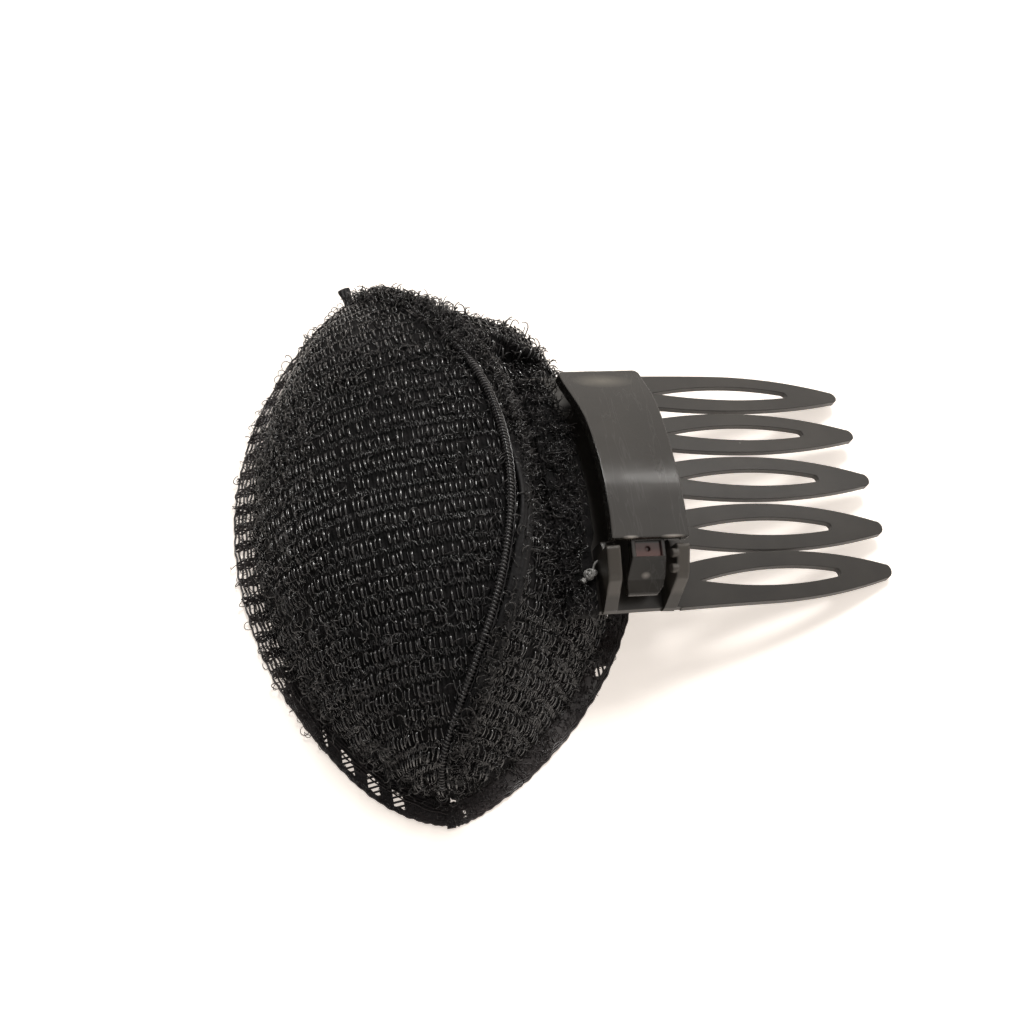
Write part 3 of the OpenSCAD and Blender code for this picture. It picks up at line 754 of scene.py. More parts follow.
def makeCloth(name, panel):
    # The panel's surface set in by the threads' thickness, with low ridges along the courses; its inner
    # side lies one wall inwards. The net coordinates go into the UV map.
    turn = np.radians(np.linspace(-pad["tipAngle"], pad["tipAngle"], clothSize["rows"]))
    s, u = np.meshgrid(np.sin(turn), np.linspace(0, 1, clothSize["cols"]), indexing="ij")
    place = pressed(panel, s, u)
    alongNet = np.interp(turn, panel["turn"], panel["along"])[:, None] + 0 * u
    lengths = lengthsAlong(place, 1)
    low, high = roomAt(panel, alongNet[:, 0])
    acrossNet = lengths + low[:, None] if panel["side"] > 0 else high[:, None] - lengths
    ridges = 0.5 + 0.5 * np.cos(2 * np.pi * alongNet / netLook["course"])
    fine = 0.5 + 0.5 * np.cos(2 * np.pi * acrossNet / (4 * netLook["wale"]) + 3 * np.sin(alongNet))
    depth = clothSize["inset"] + clothSize["relief"] * (1 - ridges * (0.6 + 0.4 * fine))
    outer = place - depth[..., None] * normalAt(panel, s, u)
    inner = panel["surface"](s, u, pad["wall"])
    for grid in (outer, inner):
        grid[:, 0, 2] = clothSize["foot"]
    uv = np.stack([acrossNet, alongNet], axis=-1).reshape(-1, 2)
    points, faces = shell(outer, inner, flip=panel["side"] > 0)
    return makePiece(name, points, faces, "cloth", "hook_net", uv=np.concatenate([uv, uv]))


# The knitted threads over the walls
knit = {
    # the straight filaments: radius on plain and on bright wales, where in the course they start and end,
    # lift, how much less it is on plain wales, and how unevenly they lie
    "barRadius": (0.095, 0.185), "bar": (0.18, 0.74), "barLift": 0.27, "plainLift": 0.55, "tipped": 0.07,
    "tilt": (0.05, 0.1), "jitter": 0.07, "slide": 0.2, "uneven": (0.75, 1.2), "unevenLift": (0.6, 1.35),
    # the short strokes of the dense courses, and the waves across them
    "strokeRadius": 0.06, "stroke": (0.78, 1.14), "strokeLift": 0.02, "strokeUneven": (0.1, 1.3),
    "strokeJitter": (0.1, 0.05), "loopRadius": 0.065, "loopHeight": 0.5, "loopLength": (1.1, 1.9),
    "loopWaves": (0.8, 1.1, 1.5), "edge": 0.35, "missing": 0.08,
    "skew": -0.12,      # how far a course drops for each mm across the panel
}


def netCells(panel, edge):
    # Every cell of the net that lies inside the panel: its wale number and its corner w, v
    spans = ((panel["steps"], netLook["wale"]), (panel["along"], netLook["course"]))
    counts = [np.arange(math.floor(span[0] / pitch), math.ceil(span[-1] / pitch)) for span, pitch in spans]
    wale, course = [grid.ravel() for grid in np.meshgrid(*counts, indexing="ij")]
    w = (wale + 0.5) * netLook["wale"]
    v = course * netLook["course"] + knit["skew"] * w
    inside = (v > panel["along"][0]) & (v + netLook["course"] < panel["along"][-1])
    for part in (0, 0.5, 1):
        low, high = roomAt(panel, v + part * netLook["course"])
        inside &= (w > low + edge) & (w < high - edge)
    return wale[inside], w[inside], v[inside]


def makeThreads(name, panel, seed):
    # For each wale and course one straight filament, raised like a flat arch over the open ladder. In the
    # dense course between two ladders lie thinner ones, short strokes along the wales and waves across.
    random = np.random.default_rng(seed)
    cells = netCells(panel, knit["edge"])
    kept = random.random(len(cells[0])) > knit["missing"]
    wale, w, v = [values[kept][:, None] for values in cells]
    shape = w.shape
    bright = wale % 2 == 0
    q = np.linspace(*knit["bar"], 5)[None, :]
    tipped = random.normal(0, knit["tipped"], shape) * np.linspace(-1, 1, 5)[None, :]
    drift = random.normal(0, knit["jitter"], shape) + random.normal(*knit["tilt"], shape) * (q - 0.5) * 2
    slide = random.normal(0, knit["slide"], shape)
    arch = np.array([[-0.25, 0.85, 1, 0.85, -0.25]])
    lift = knit["barLift"] * arch * random.uniform(*knit["unevenLift"], shape)
    lift = lift * np.where(bright, 1, knit["plainLift"]) + tipped
    bars = onPanel(panel, w + drift, v + q * netLook["course"] + slide, lift)
    plain, wide = knit["barRadius"]
    size = np.where(bright, wide, plain) * random.uniform(*knit["uneven"], shape)
    parts = [tubes(bars, size, 5)]
    q = np.linspace(*knit["stroke"], 4)[None, :]
    across, along = knit["strokeJitter"]
    for aside in (0.0, 0.5):
        strokeW = w + aside * netLook["wale"] + random.normal(0, across, shape) * (1 + 2 * (q - 0.9))
        strokeV = v + (q + random.normal(0, along, shape)) * netLook["course"]
        lift = knit["strokeLift"] * random.uniform(*knit["strokeUneven"], shape) + 0 * q
        parts.append(tubes(onPanel(panel, strokeW, strokeV, lift), knit["strokeRadius"], 3))
    p = np.linspace(0, 1, 8)[None, :]
    phase = random.uniform(0, 2 * np.pi, shape)
    waves = random.choice(knit["loopWaves"], shape)
    loopW = w - 0.3 + random.uniform(*knit["loopLength"], shape) * netLook["wale"] * p
    loopV = v + knit["loopHeight"] * np.sin(2 * np.pi * p * waves + phase)
    parts.append(tubes(onPanel(panel, loopW, loopV, 0 * loopW), knit["loopRadius"], 3))
    return makePiece(name, *joined(parts), "net", "hook_net")


def hookForm(radius, stem, curl, sweep, rings=8, lean=0.45, aim=(0, 0, 0), flat=0):
    # The ranges of stem, curl and sweep of a set of hooks, how and where they lean, and how flat they lie
    return {"radius": radius, "stem": stem, "curl": curl, "sweep": sweep, "rings": rings, "lean": lean,
            "aim": np.array(aim), "flat": flat}


# The standing hooks of the net: short stiff ends that curl over. On the back panel they lean towards the
# far tip and the comb, by the tip they lie nearly flat.
hooks = {
    "front": hookForm(0.125, (0.1, 0.8), (0.6, 1.15), (1.6, 3.8), lean=0.9, flat=0.35),
    "back": hookForm(0.125, (0.2, 1.3), (0.55, 1.05), (1.0, 2.8), lean=0.8, aim=(0.25, 0.4, 0), flat=0.35),
    "flat": hookForm(0.125, (0.1, 0.9), (0.45, 0.9), (1.0, 2.6), lean=1.6, aim=(0.5, 0.8, 0), flat=0.85),
    "tall": hookForm(0.13, (0.9, 2.0), (0.6, 1.0), (1.2, 2.8), lean=0.4),
    "strip": hookForm(0.115, (0.05, 0.9), (0.5, 1.0), (1.2, 3.4), lean=0.7),
}
hookRules = {
    "start": -0.28,     # where on the arc's scale the stem starts
    "rise": 0.25,       # the least share of outward that a hook's direction keeps
    "round": (0.8, 1.1), "drift": 0.22,     # how wide the arcs open, and how far they drift aside
    "thick": (0.75, 1.15), "taper": 0.6, "sides": 3,
}


def makeHooks(spots, outward, seed, shape):
    # A hook rises from its spot by its stem and then turns over in an arc of the curl's radius:
    # spot + lean * (stem + curl * sin a) + aside * curl * (1 - cos a), a from 0 to the sweep. Flat ones
    # turn within the surface.
    random = np.random.default_rng(seed)
    count = len(spots)
    lean = unit(outward + random.normal(0, shape["lean"], (count, 3)) + shape["aim"])
    rise = (lean * outward).sum(-1, keepdims=True)
    lean = unit(lean + np.maximum(hookRules["rise"] - rise, 0) * outward)
    level = random.choice([-1.0, 1.0], (count, 1)) * outward
    aside = random.normal(0, 1, (count, 3)) * (1 - shape["flat"]) + level * shape["flat"] * 3
    aside = unit(np.cross(lean, aside))
    stem, curl, sweep = [random.uniform(*shape[key], (count, 1)) for key in ("stem", "curl", "sweep")]
    a = sweep * np.linspace(hookRules["start"], 1, shape["rings"])[None, :]
    arc = np.maximum(a, 0)
    up = np.where(a < 0, stem * (1 - a / (hookRules["start"] * sweep)), stem + curl * np.sin(arc))
    over = np.where(a < 0, 0, curl * (1 - np.cos(arc))) * random.uniform(*hookRules["round"], (count, 1))
    twist = np.cross(lean, aside)
    drift = random.normal(0, hookRules["drift"], (count, 1)) * arc
    paths = spots[:, None] + up[..., None] * lean[:, None] + over[..., None] * aside[:, None]
    paths = paths + drift[..., None] * twist[:, None]
    paths[..., 2] = np.maximum(paths[..., 2], 1.5 * shape["radius"])
    size = shape["radius"] * random.uniform(*hookRules["thick"], (count, 1))
    size = size * np.linspace(1, hookRules["taper"], shape["rings"])
    return tubes(paths, size, hookRules["sides"], twist[:, None])


def scatterHooks(panel, seed, count, density):
    # Random spots on a panel, kept with a chance that the density rule gives for their s and u
    random = np.random.default_rng(seed)
    tries = int(count * 3)
    v = random.uniform(panel["along"][0], panel["along"][-1], tries)
    w = random.uniform(panel["steps"][0], panel["steps"][-1], tries)
    low, high = roomAt(panel, v)
    s, u = netToPanel(panel, w, v)
    kept = (w > low + 0.1) & (w < high - 0.2) & (random.random(tries) < density(s, u))
    s, u = s[kept][:count], u[kept][:count]
    outward = normalAt(panel, s, u)
    return pressed(panel, s, u), outward


# Where the panels' hooks stand, by s from -1 at the near tip to 1 at the far one, and u from 0 at the rim
# to 1 at the seam
dense = {
    # the front panel's bright middle: s and u, how far it spreads in each, how much thinner it is
    "bright": (-0.1, 0.62), "brightSpread": (0.5, 0.28), "thinner": 0.93,
    "frontHigh": 0.75, "frontFar": (0.5, 0.1),      # share in the upper half, and share past this s
    "underComb": (0.35, 0.3, 0.35),                 # up to which u and s, and the share there
    "far": 0.4, "farLow": (0.15, 0.4),              # the far tip's from s, and the share below this u
    "corner": (0.51, 0.38), "cornerHalf": (0.12, 0.24),     # by the plate's far corner: s and u
}


def frontDensity(s, u):
    # Dense by the rim, at the tips and beside the seam, thin in the bright middle
    (atS, atU), (wide, high) = dense["bright"], dense["brightSpread"]
    middle = np.exp(-((s - atS) / wide) ** 2 - ((u - atU) / high) ** 2)
    past, share = dense["frontFar"]
    return (np.clip(1.0 - dense["thinner"] * middle, 0, 1) * np.where(u < 0.5, 1.0, dense["frontHigh"])
            * np.where(s > past, share, 1.0))


def backDensity(s, u):
    # Fewer under the comb, none by the far tip, where the hooks lie flat
    toU, toS, share = dense["underComb"]
    return np.where((u < toU) & (s < toS), share, 1.0) * np.where(s > dense["far"], 0.0, 1.0)


def farDensity(s, u):
    # Only by the far tip, where single hooks stand up against the floor behind
    low, share = dense["farLow"]
    return np.where(s > dense["far"], 1.0, 0.0) * np.where(u > low, 1.0, share)


def cornerDensity(s, u):
    # Only on the steep slope by the plate's far corner
    (atS, atU), (wide, high) = dense["corner"], dense["cornerHalf"]
    return np.where((np.abs(s - atS) < wide) & (np.abs(u - atU) < high), 1.0, 0.0)


def makePanelHooks(name, panel, seed, sets):
    # Several sets of hooks as one piece, each with its count, density rule and shape
    parts = []
    for index, (count, density, shape) in enumerate(sets):
        spots, outward = scatterHooks(panel, seed + 2 * index, count, density)
        parts.append(makeHooks(spots, outward, seed + 2 * index + 1, hooks[shape]))
    return makePiece(name, *joined(parts), "hook", "hook_net")


frontCloth = makeCloth("front_cloth", panels["front"])
backCloth = makeCloth("back_cloth", panels["back"])
makeThreads("front_threads", panels["front"], 11)
makeThreads("back_threads", panels["back"], 12)
makePanelHooks("front_hooks", panels["front"], 21, [
    (1450, frontDensity, "front"), (260, farDensity, "flat"), (24, farDensity, "tall")])
makePanelHooks("back_hooks", panels["back"], 24, [
    (1500, backDensity, "back"), (700, farDensity, "flat"), (40, farDensity, "tall"),
    (1500, cornerDensity, "flat")])
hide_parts("front_panel")
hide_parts("back_panel")


# The single layer of open net round the pad: open by the outer edge, closed with short slits elsewhere
hem = {
    "width": 3.4, "low": 0.2, "high": 1.25, "edge": 0.42, "barRadius": 0.19, "bandRadius": 0.16,
    "open": (97, 210), "lines": 6, "linePitch": 0.64, "bands": 9, "bandHalf": 0.75, "bandUneven": 0.22,
    "bandWaves": (0.8, 2.2), "bandSway": 0.2, "bandRaised": (-0.05, 0.12),
    "closed": (204, 455), "closedWidth": 2.85, "edgeLines": (2.62, 2.9, 3.18), "edgeRadius": 0.2,
    "slitTo": 3.1, "slitShare": 0.45, "wall": 0.3, "middle": 2.2,
    # where open columns cross the closed part: degrees round the rim, every how many columns, how far out
    "slits": ((221, 251, 1, 1.1), (268, 276, 1, 1.3), (318, 330, 3, 1.3), (348, 392, 3, 1.3)),
    # how much of the way a line across follows the net's columns, by degrees round the rim
    "follow": ((208, 215, 268, 280, 306, 316, 396, 410), (0, 1, 1, 0, 0, 1, 1, 0)),
    "bulge": (0.8, 243, 17),    # by the near tip it reaches out further: mm, where, over how many degrees
    "turn": 300, "slitRadius": 0.19, "lint": 1800, "lintRadius": 0.085,
    "foot": 0.15, "footRadius": 0.15, "lintSize": (0.3, 0.6),
    "selvage": (188, 264), "selvageLines": (0.3, 0.8, 1.3, 1.8), "selvageRadius": 0.13,
    "selvageRaised": 0.42,
}


def ripple(a, *waves):
    # A sum of sines, each given by its height, its rate and its shift
    return sum(height * np.sin(rate * a + shift) for height, rate, shift in waves)


def rimPoint(a, grow):
    # The pad's outline, grown outwards; a goes once round, with the comb's side at 0
    s = np.sin(a)
    near = np.cos(a) < 0
    x = tipX(s) + np.where(near, -1, 1) * rimReach(near, s, grow)
    return np.stack([x, pad["middleY"] + (pad["dome"][0] + grow) * s], axis=-1)


def growAt(x, y):
    # How far outside the dome's foot a place lies: the crossing of its distance with the grown outline
    tries = np.linspace(-2, 6, 17)
    s = np.clip((y[..., None] - pad["middleY"]) / (pad["dome"][0] + tries), -0.9999, 0.9999)
    out = x[..., None] - tipX(s)
    gap = np.abs(out) - rimReach(out < 0, s, tries)
    k = np.clip((gap > 0).sum(-1) - 1, 0, len(tries) - 2)[..., None]
    first = np.take_along_axis(gap, k, -1)
    second = np.take_along_axis(gap, k + 1, -1)
    part = np.clip(first / np.maximum(first - second, 1e-6), 0, 1)
    grow = tries[k] + part * (tries[1] - tries[0])
    return np.where((gap > 0).any(-1), grow[..., 0], -9.0)


def hemHeight(grow, x, y):
    # Higher where it meets the dome, low at the edge, with a slight wave along the rim
    wave = 0.16 * np.sin(0.55 * x + 0.3 * y) + 0.14 * np.sin(0.41 * y - 0.2 * x + 1)
    part = np.clip(grow / hem["width"], 0, 1)
    return np.maximum(hem["low"], hem["high"] * (1 - part) + hem["edge"] * part + wave * part)


def hemLine(a, grow, radius, raised=0.0):
    # A thread along the rim, laid at the hem's height
    ring = rimPoint(a, grow)
    height = hemHeight(grow + 0 * a, ring[..., 0], ring[..., 1]) + raised
    return tubes(lifted(ring, height)[None], radius, 5)


def lifted(ring, height):
    # Places seen from above, with their heights
    return np.concatenate([ring, height[..., None]], axis=-1)


def hemOpen(random):
    # The open net: threads of one net pitch along the rim, and dense courses of waving threads across them
    parts = []
    a = np.radians(np.linspace(*hem["open"], 420))
    for line in range(hem["lines"]):
        sway = ripple(a, (0.08, 61, 2 * line), (0.06, 140, line))
        parts.append(hemLine(a, hem["foot"] + line * hem["linePitch"] + sway, hem["barRadius"]))
    course = np.arange(-9, 14) * netLook["course"]
    band = np.linspace(-hem["bandHalf"], hem["bandHalf"], hem["bands"])
    start, band = [part.ravel()[:, None] for part in np.meshgrid(course, band, indexing="ij")]
    shape = start.shape
    p = np.linspace(0, 1, 9)[None, :]
    grow = -0.3 + (hem["width"] + 0.2 + random.normal(0, hem["bandUneven"], shape)) * p
    phase = random.uniform(0, 6.28, shape)
    waves = random.uniform(*hem["bandWaves"], shape)
    y = start + band + hem["bandSway"] * np.sin(2 * np.pi * p * waves + phase)
    s = np.clip((y - pad["middleY"]) / (pad["dome"][0] + grow), -1, 1)
    ring = rimPoint(np.pi - np.arcsin(s), grow)
    height = hemHeight(grow, ring[..., 0], ring[..., 1]) + random.uniform(*hem["bandRaised"], shape)
    kept = (s.max(1) < 0.995) & (s.min(1) > -0.5)
    parts.append(tubes(lifted(ring, height)[kept], hem["bandRadius"], 4))
    return parts


def hemBulge(a):
    # A bell-shaped widening
    deep, at, wide = hem["bulge"]
    return deep * np.exp(-((np.degrees(a) - at) / wide) ** 2)


def closedReach(a):
    # How far out the closed part of the hem goes: less where a column of open bars crosses it
    ring = rimPoint(a, hem["middle"])
    along = np.where(a < math.radians(hem["turn"]), ring[..., 0], ring[..., 1]) / netLook["course"]
    reach = hem["closedWidth"] + hemBulge(a)
    for start, end, every, low in hem["slits"]:
        inside = (a > math.radians(start)) & (a < math.radians(end))
        open = (along % 1 < hem["slitShare"]) & (np.floor(along) % every == 0)
        reach = np.where(inside & open, low, reach)
    first, last = np.radians(hem["closed"])
    return reach * np.clip(np.minimum(a - first, last - a) / 0.15, 0.03, 1) ** 0.5


def closedPoint(a, grow):
    # A place on the closed part. Where slits cross it, the lines across keep the x (by the near tip) or the
    # y (on the comb's side) that they have in the hem's middle, found by four Newton steps. Elsewhere they
    # stand square to the rim.
    byTip = a < math.radians(hem["turn"])
    pick = lambda pair: np.where(byTip, pair[..., 0], pair[..., 1])
    aim = pick(rimPoint(a, hem["middle"]))
    moved = a + 0 * grow
    for step in range(4):
        here = pick(rimPoint(moved, grow))
        rate = (pick(rimPoint(moved + 0.001, grow)) - here) / 0.001
        moved = moved + np.clip((aim - here) / np.maximum(rate, 5), -0.1, 0.1)
    share = np.interp(np.degrees(a), *hem["follow"])
    return rimPoint(a + share * (moved - a), grow)


def hemClosed():
    # A thin wall of doubled net that reaches out less in the slits' columns
    a = np.radians(np.linspace(*hem["closed"], 1600))[:, None]
    part = np.linspace(0, 1, 9)
    grow = closedReach(a) * part + ripple(a, (0.05, 83, 0)) * part
    ring = closedPoint(a, grow)
    height = hemHeight(grow, ring[..., 0], ring[..., 1]) + 0.1
    wall = hem["wall"] * np.sqrt(np.clip(1.02 - part ** 4, 0, 1))
    return shell(lifted(ring, height), lifted(ring, height - wall), flip=True)


def hemBars():
    # Bars of one net pitch across the slits: along x by the near tip, along y on the comb's side. Where a
    # bar would leave the hem, it is cut at the edge lines.
    parts = []
    q = np.linspace(-0.3, 1.3, 4)[None, :] * hem["slitShare"]
    columns, lines = np.meshgrid(np.arange(-20, 20), np.arange(-72, 73), indexing="ij")
    along = (columns.reshape(-1, 1) + q) * netLook["course"]
    across = lines.reshape(-1, 1) * netLook["wale"] + 0 * q
    turnY = pad["middleY"] + pad["dome"][0] * math.sin(math.radians(hem["turn"]))
    for byComb, low, bulges in ((False, 0.8, 1.0), (True, 1.1, 0.0)):
        x, y = (across, along) if byComb else (along, across)
        right = x[:, 1] > tipX(0)
        zone = right & (y[:, 1] > turnY) if byComb else y[:, 1] < np.where(right, turnY, -22)
        grow = growAt(x, y)
        rim = np.arctan2((y - pad["middleY"]) / pad["dome"][0], np.where(x < tipX(0), -0.6, 0.6))
        limit = hem["slitTo"] + bulges * hemBulge(rim % (2 * np.pi)).max(1)
        first, last = grow[:, 0], grow[:, -1]
        cut = np.clip((limit - first) / np.where(np.abs(last - first) > 0.01, last - first, 9), 0, 1)
        start = np.where(first > limit, cut, 0)[:, None]
        end = np.where(last > limit, cut, 1)[:, None]
        kept = zone & (grow[:, 1] > low) & (end - start > 0.25)[:, 0] & (grow.min(1) < limit)
        part = (start + (end - start) * np.linspace(0, 1, 4)[None, :])[kept]
        x, y = [line[kept, :1] + (line[kept, -1:] - line[kept, :1]) * part for line in (x, y)]
        bars = np.stack([x, y, hemHeight(growAt(x, y), x, y)], axis=-1)
        parts.append(tubes(bars, hem["slitRadius"], 4))
    return parts


def hemLint(random):
    # Short curled threads on the closed part: an arc about each spot
    count = hem["lint"]
    a = np.radians(random.uniform(*hem["closed"], count))
    grow = random.uniform(0.0, 1, count) * (closedReach(a) - 0.15)
    ring = closedPoint(a, grow)
    turn = random.uniform(0, 2 * np.pi, (count, 1)) + np.linspace(0, 2.4, 6)[None, :]
    size = random.uniform(*hem["lintSize"], (count, 1))
    place = lifted(ring, hemHeight(grow, ring[:, 0], ring[:, 1]))[:, None] - np.array([0, 0, 0.02])
    arc = size[..., None] * np.stack([np.cos(turn), np.sin(turn), 0.4 * np.sin(turn * 1.3)], axis=-1)
    arc = (arc - arc.mean(1, keepdims=True)) * 0.8
    arc[..., 2] = np.abs(arc[..., 2]) + 0.12
    return [tubes(place + arc, hem["lintRadius"], 3)]


def hemEdges():
    # Long threads round the rim: a foot by the dome, the closed part's edge, the selvage's lines over it
    around = np.linspace(0, 2 * np.pi, 721)
    parts = [hemLine(around, hem["foot"] + ripple(around, (0.05, 97, 0)), hem["footRadius"])]
    a = np.radians(np.linspace(hem["closed"][0] + 4, hem["closed"][1] - 8, 600))
    for grow in hem["edgeLines"]:
        sway = ripple(a, (0.06, 121, 5 * grow), (0.05, 67, 2 * grow))
        parts.append(hemLine(a, grow + sway + hemBulge(a), hem["edgeRadius"]))
    a = np.radians(np.linspace(*hem["selvage"], 181))
    for grow in hem["selvageLines"]:
        sway = ripple(a, (0.08, 40, 3 * grow))
        parts.append(hemLine(a, grow + sway, hem["selvageRadius"], hem["selvageRaised"]))
    return parts


def makeHem():
    random = np.random.default_rng(31)
    parts = hemOpen(random) + [hemClosed()] + hemBars() + hemLint(random) + hemEdges()
    return makePiece("hem_net", *joined(parts), "hem", "hem_net")


# Open loops that stand out sideways from the outer edge, and a few short ones elsewhere: count, degrees
# round the rim, how far out, shape
hemHookSets = (
    (95, (100, 222), (1.6, 3.1), hookForm(0.1, (0.3, 1.1), (0.5, 0.85), (2.4, 5.2), rings=10)),
    (120, (100, 222), (0.2, 2.6), hookForm(0.1, (0.1, 0.8), (0.4, 0.7), (1.6, 4.2))),
    (170, (222, 455), (0.2, 2.8), hookForm(0.09, (0.05, 0.5), (0.3, 0.5), (1.5, 3.2))),
)


def makeHemHooks():
    random = np.random.default_rng(32)
    parts = []
    for index, (count, around, width, shape) in enumerate(hemHookSets):
        a = np.radians(random.uniform(*around, count))
        grow = random.uniform(*width, count)
        ring = rimPoint(a, grow)
        spots = lifted(ring, hemHeight(grow, ring[:, 0], ring[:, 1]))
        outward = lifted(unit(rimPoint(a, grow + 0.5) - ring), random.uniform(0.1, 0.9, count))
        parts.append(makeHooks(spots, unit(outward), 33 + index, shape))
    return makePiece("hem_hooks", *joined(parts), "hem", "hem_net")


hemNet = makeHem()
makeHemHooks()
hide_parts("rim_hem")


# The overlocked seam along the ridge
seam = {
    "reach": math.radians(78), "lift": 0.9, "aside": -0.2, "coilRadius": 0.42, "threadRadius": 0.165,
    "coreRadius": 0.34, "pitch": 0.55, "turnSteps": 10, "sinkFrom": 0.60, "sinkTo": 0.72, "sunk": 0.95,
    "nearFrom": 0.20, "nearTo": 0.08, "nearSunk": 0.9,
    "edgeAside": 0.72, "edgeLow": 0.30, "edgeRadius": 0.13,
}


def seamLine(steps):
    # The ridge, lifted by the cord, at even lengths along it
    fine = np.sin(np.linspace(-seam["reach"], seam["reach"], 1201))
    line = frontPoint(fine, 1.0) + np.array([seam["aside"], 0, seam["lift"]])
    length = lengthsAlong(line)
    want = np.linspace(0, length[-1], steps)
    return np.stack([np.interp(want, length, line[:, k]) for k in range(3)], axis=-1), length[-1]


def seamSink(part, look):
    # How deep it lies between the panels: 0 in its middle part, smoothly down towards both ends
    far = np.clip((part - look["sinkFrom"]) / (look["sinkTo"] - look["sinkFrom"]), 0, 1)
    near = np.clip((part - seam["nearFrom"]) / (seam["nearTo"] - seam["nearFrom"]), 0, 1)
    return look["sunk"] * far * far * (3 - 2 * far) + seam["nearSunk"] * near * near * (3 - 2 * near)


def makeCoil():
    # A thread wound round the seam, one turn a pitch, over a thin core, with a straight edge thread beside
    # it. Towards both tips it sinks between the panels.
    length = seamLine(10)[1]
    steps = int(length / seam["pitch"] * seam["turnSteps"])
    line = seamLine(steps)[0]
    line[:, 2] -= seamSink(np.linspace(0, 1, steps), seam)
    run = unit(np.gradient(line, axis=0))
    aside = unit(np.cross(run, np.array([0, 0, 1.0])))
    up = np.cross(aside, run)
    a = 2 * np.pi * np.arange(steps)[:, None] / seam["turnSteps"]
    random = np.random.default_rng(41)
    marks = np.arange(0, steps + 40, 40)
    uneven = np.interp(np.arange(steps), marks, random.uniform(0.9, 1.1, len(marks)))[:, None]
    coil = line + seam["coilRadius"] * uneven * (np.cos(a) * aside * 1.05 + np.sin(a) * up)
    edge = line[::6] + aside[::6] * seam["edgeAside"] - up[::6] * seam["edgeLow"]
    edge = edge + 0.05 * np.sin(np.arange(len(edge)) * 1.7)[:, None] * aside[::6]
    return makePiece("seam_coil", *joined([
        tubes(coil[None], seam["threadRadius"], 5, run[None]),
        tubes(line[None, ::8], seam["coreRadius"], 8),
        tubes(edge[None], seam["edgeRadius"], 5),
    ]), "seam", "seam_thread")


seamCoil = makeCoil()
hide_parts("seam_cord")


# The folded binding beside the cord
binding = {
    "from": 0.96, "to": 0.82, "lift": 0.8, "width": 2.8, "thickness": 1.0, "rings": 220,
    "grooves": 3, "grooveDepth": 0.06,
    "sinkFrom": 0.40, "sinkTo": 0.56, "sunk": 1.5,
    "hooks": 1500, "seamHooks": 460,        # tries beside the seam, and hooks over it by the far tip
}


def bindingFrame(s):
    # Along the seam: where the binding starts, the way across it and the way up from it
    p = backPoint(s, binding["from"])
    out = unit(backPoint(s, binding["to"]) - p)
    up = unit(np.stack([-out[:, 2], np.zeros(len(s)), out[:, 0]], axis=-1))
    return p, out, np.where(up[:, 2:] < 0, -up, up)


def makeBinding():
    # A flat rounded section carried along the seam: its top has shallow lengthwise grooves and a soft wave
    s = np.sin(np.linspace(-seam["reach"], seam["reach"], binding["rings"]))
    p, out, up = bindingFrame(s)
    across = np.linspace(0, 1, 17)
    body = np.clip(1 - np.abs(2 * across - 1) ** 6, 0, 1) ** 0.5
    grooves = binding["grooveDepth"] * np.cos(2 * np.pi * across * binding["grooves"]) * body
    part = np.linspace(0, 1, len(s))[:, None]
    wave = 0.05 * np.sin(37 * part + 3 * across) + 0.04 * np.sin(71 * part + 5 * across)
    half = binding["thickness"] / 2
    top = half + (half * 0.96 + grooves - binding["grooveDepth"] + wave * body) * body
    low = half - half * body + 0.0 * part
    wide = binding["width"] * np.concatenate([across, across[-2:0:-1]])
    height = np.concatenate([top, low[:, -2:0:-1]], axis=1)
    base = p + up * (binding["lift"] - seamSink(part, binding))
    points, faces = sweep(base[:, None] + out[:, None] * wide[:, None] + up[:, None] * height[..., None])
    uv = np.stack(np.broadcast_arrays(wide, lengthsAlong(p)[:, None]), axis=-1).reshape(-1, 2)
    return makePiece("binding_fold", points, faces, "binding", "binding", uv=uv)


def makeBindingHooks():
    # Hooks of the panels that reach over the binding and, by its far end, over the seam as well
    random = np.random.default_rng(45)
    s = np.sin(random.uniform(-seam["reach"], seam["reach"], binding["hooks"]))
    chance = np.where(s > 0.0, 1.0, np.where(s < -0.55, 0.8, 0.16))
    s = s[random.random(len(s)) < chance]
    p, out, up = bindingFrame(s)
    s = s[:, None]
    part = random.uniform(0.05, 0.98, s.shape) - np.where(s > 0.0, 0.2, 0)
    spots = p + up * (binding["lift"] * np.clip(1 - 2.5 * s, 0.1, 1)) + out * binding["width"] * part
    parts = [makeHooks(spots + up * np.clip(0.7 - 1.5 * s, 0.1, 0.7), up, 46, hooks["back"])]
    s = np.sin(random.uniform(math.radians(20), seam["reach"], binding["seamHooks"]))
    aside = random.normal(0, 1, (len(s), 1)) * np.array([0.9, 0.0, 0.0])
    spots = frontPoint(s, 1.0) + aside + np.array([0, 0, 0.1])
    aim = [random.normal(0.1, 0.3, len(s)), random.normal(0.1, 0.3, len(s)), np.ones(len(s))]
    parts.append(makeHooks(spots, unit(np.stack(aim, axis=-1)), 47, hooks["back"]))
    return makePiece("binding_hooks", *joined(parts), "hook", "hook_net")


bindingFold = makeBinding()
makeBindingHooks()
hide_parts("seam_binding")


# The small end of fabric at the far tip
tab = {
    "at": (-0.6, -0.6, 2.7), "size": (2.2, 4.2, 0.9), "tilt": math.radians(18), "turn": math.radians(14),
}


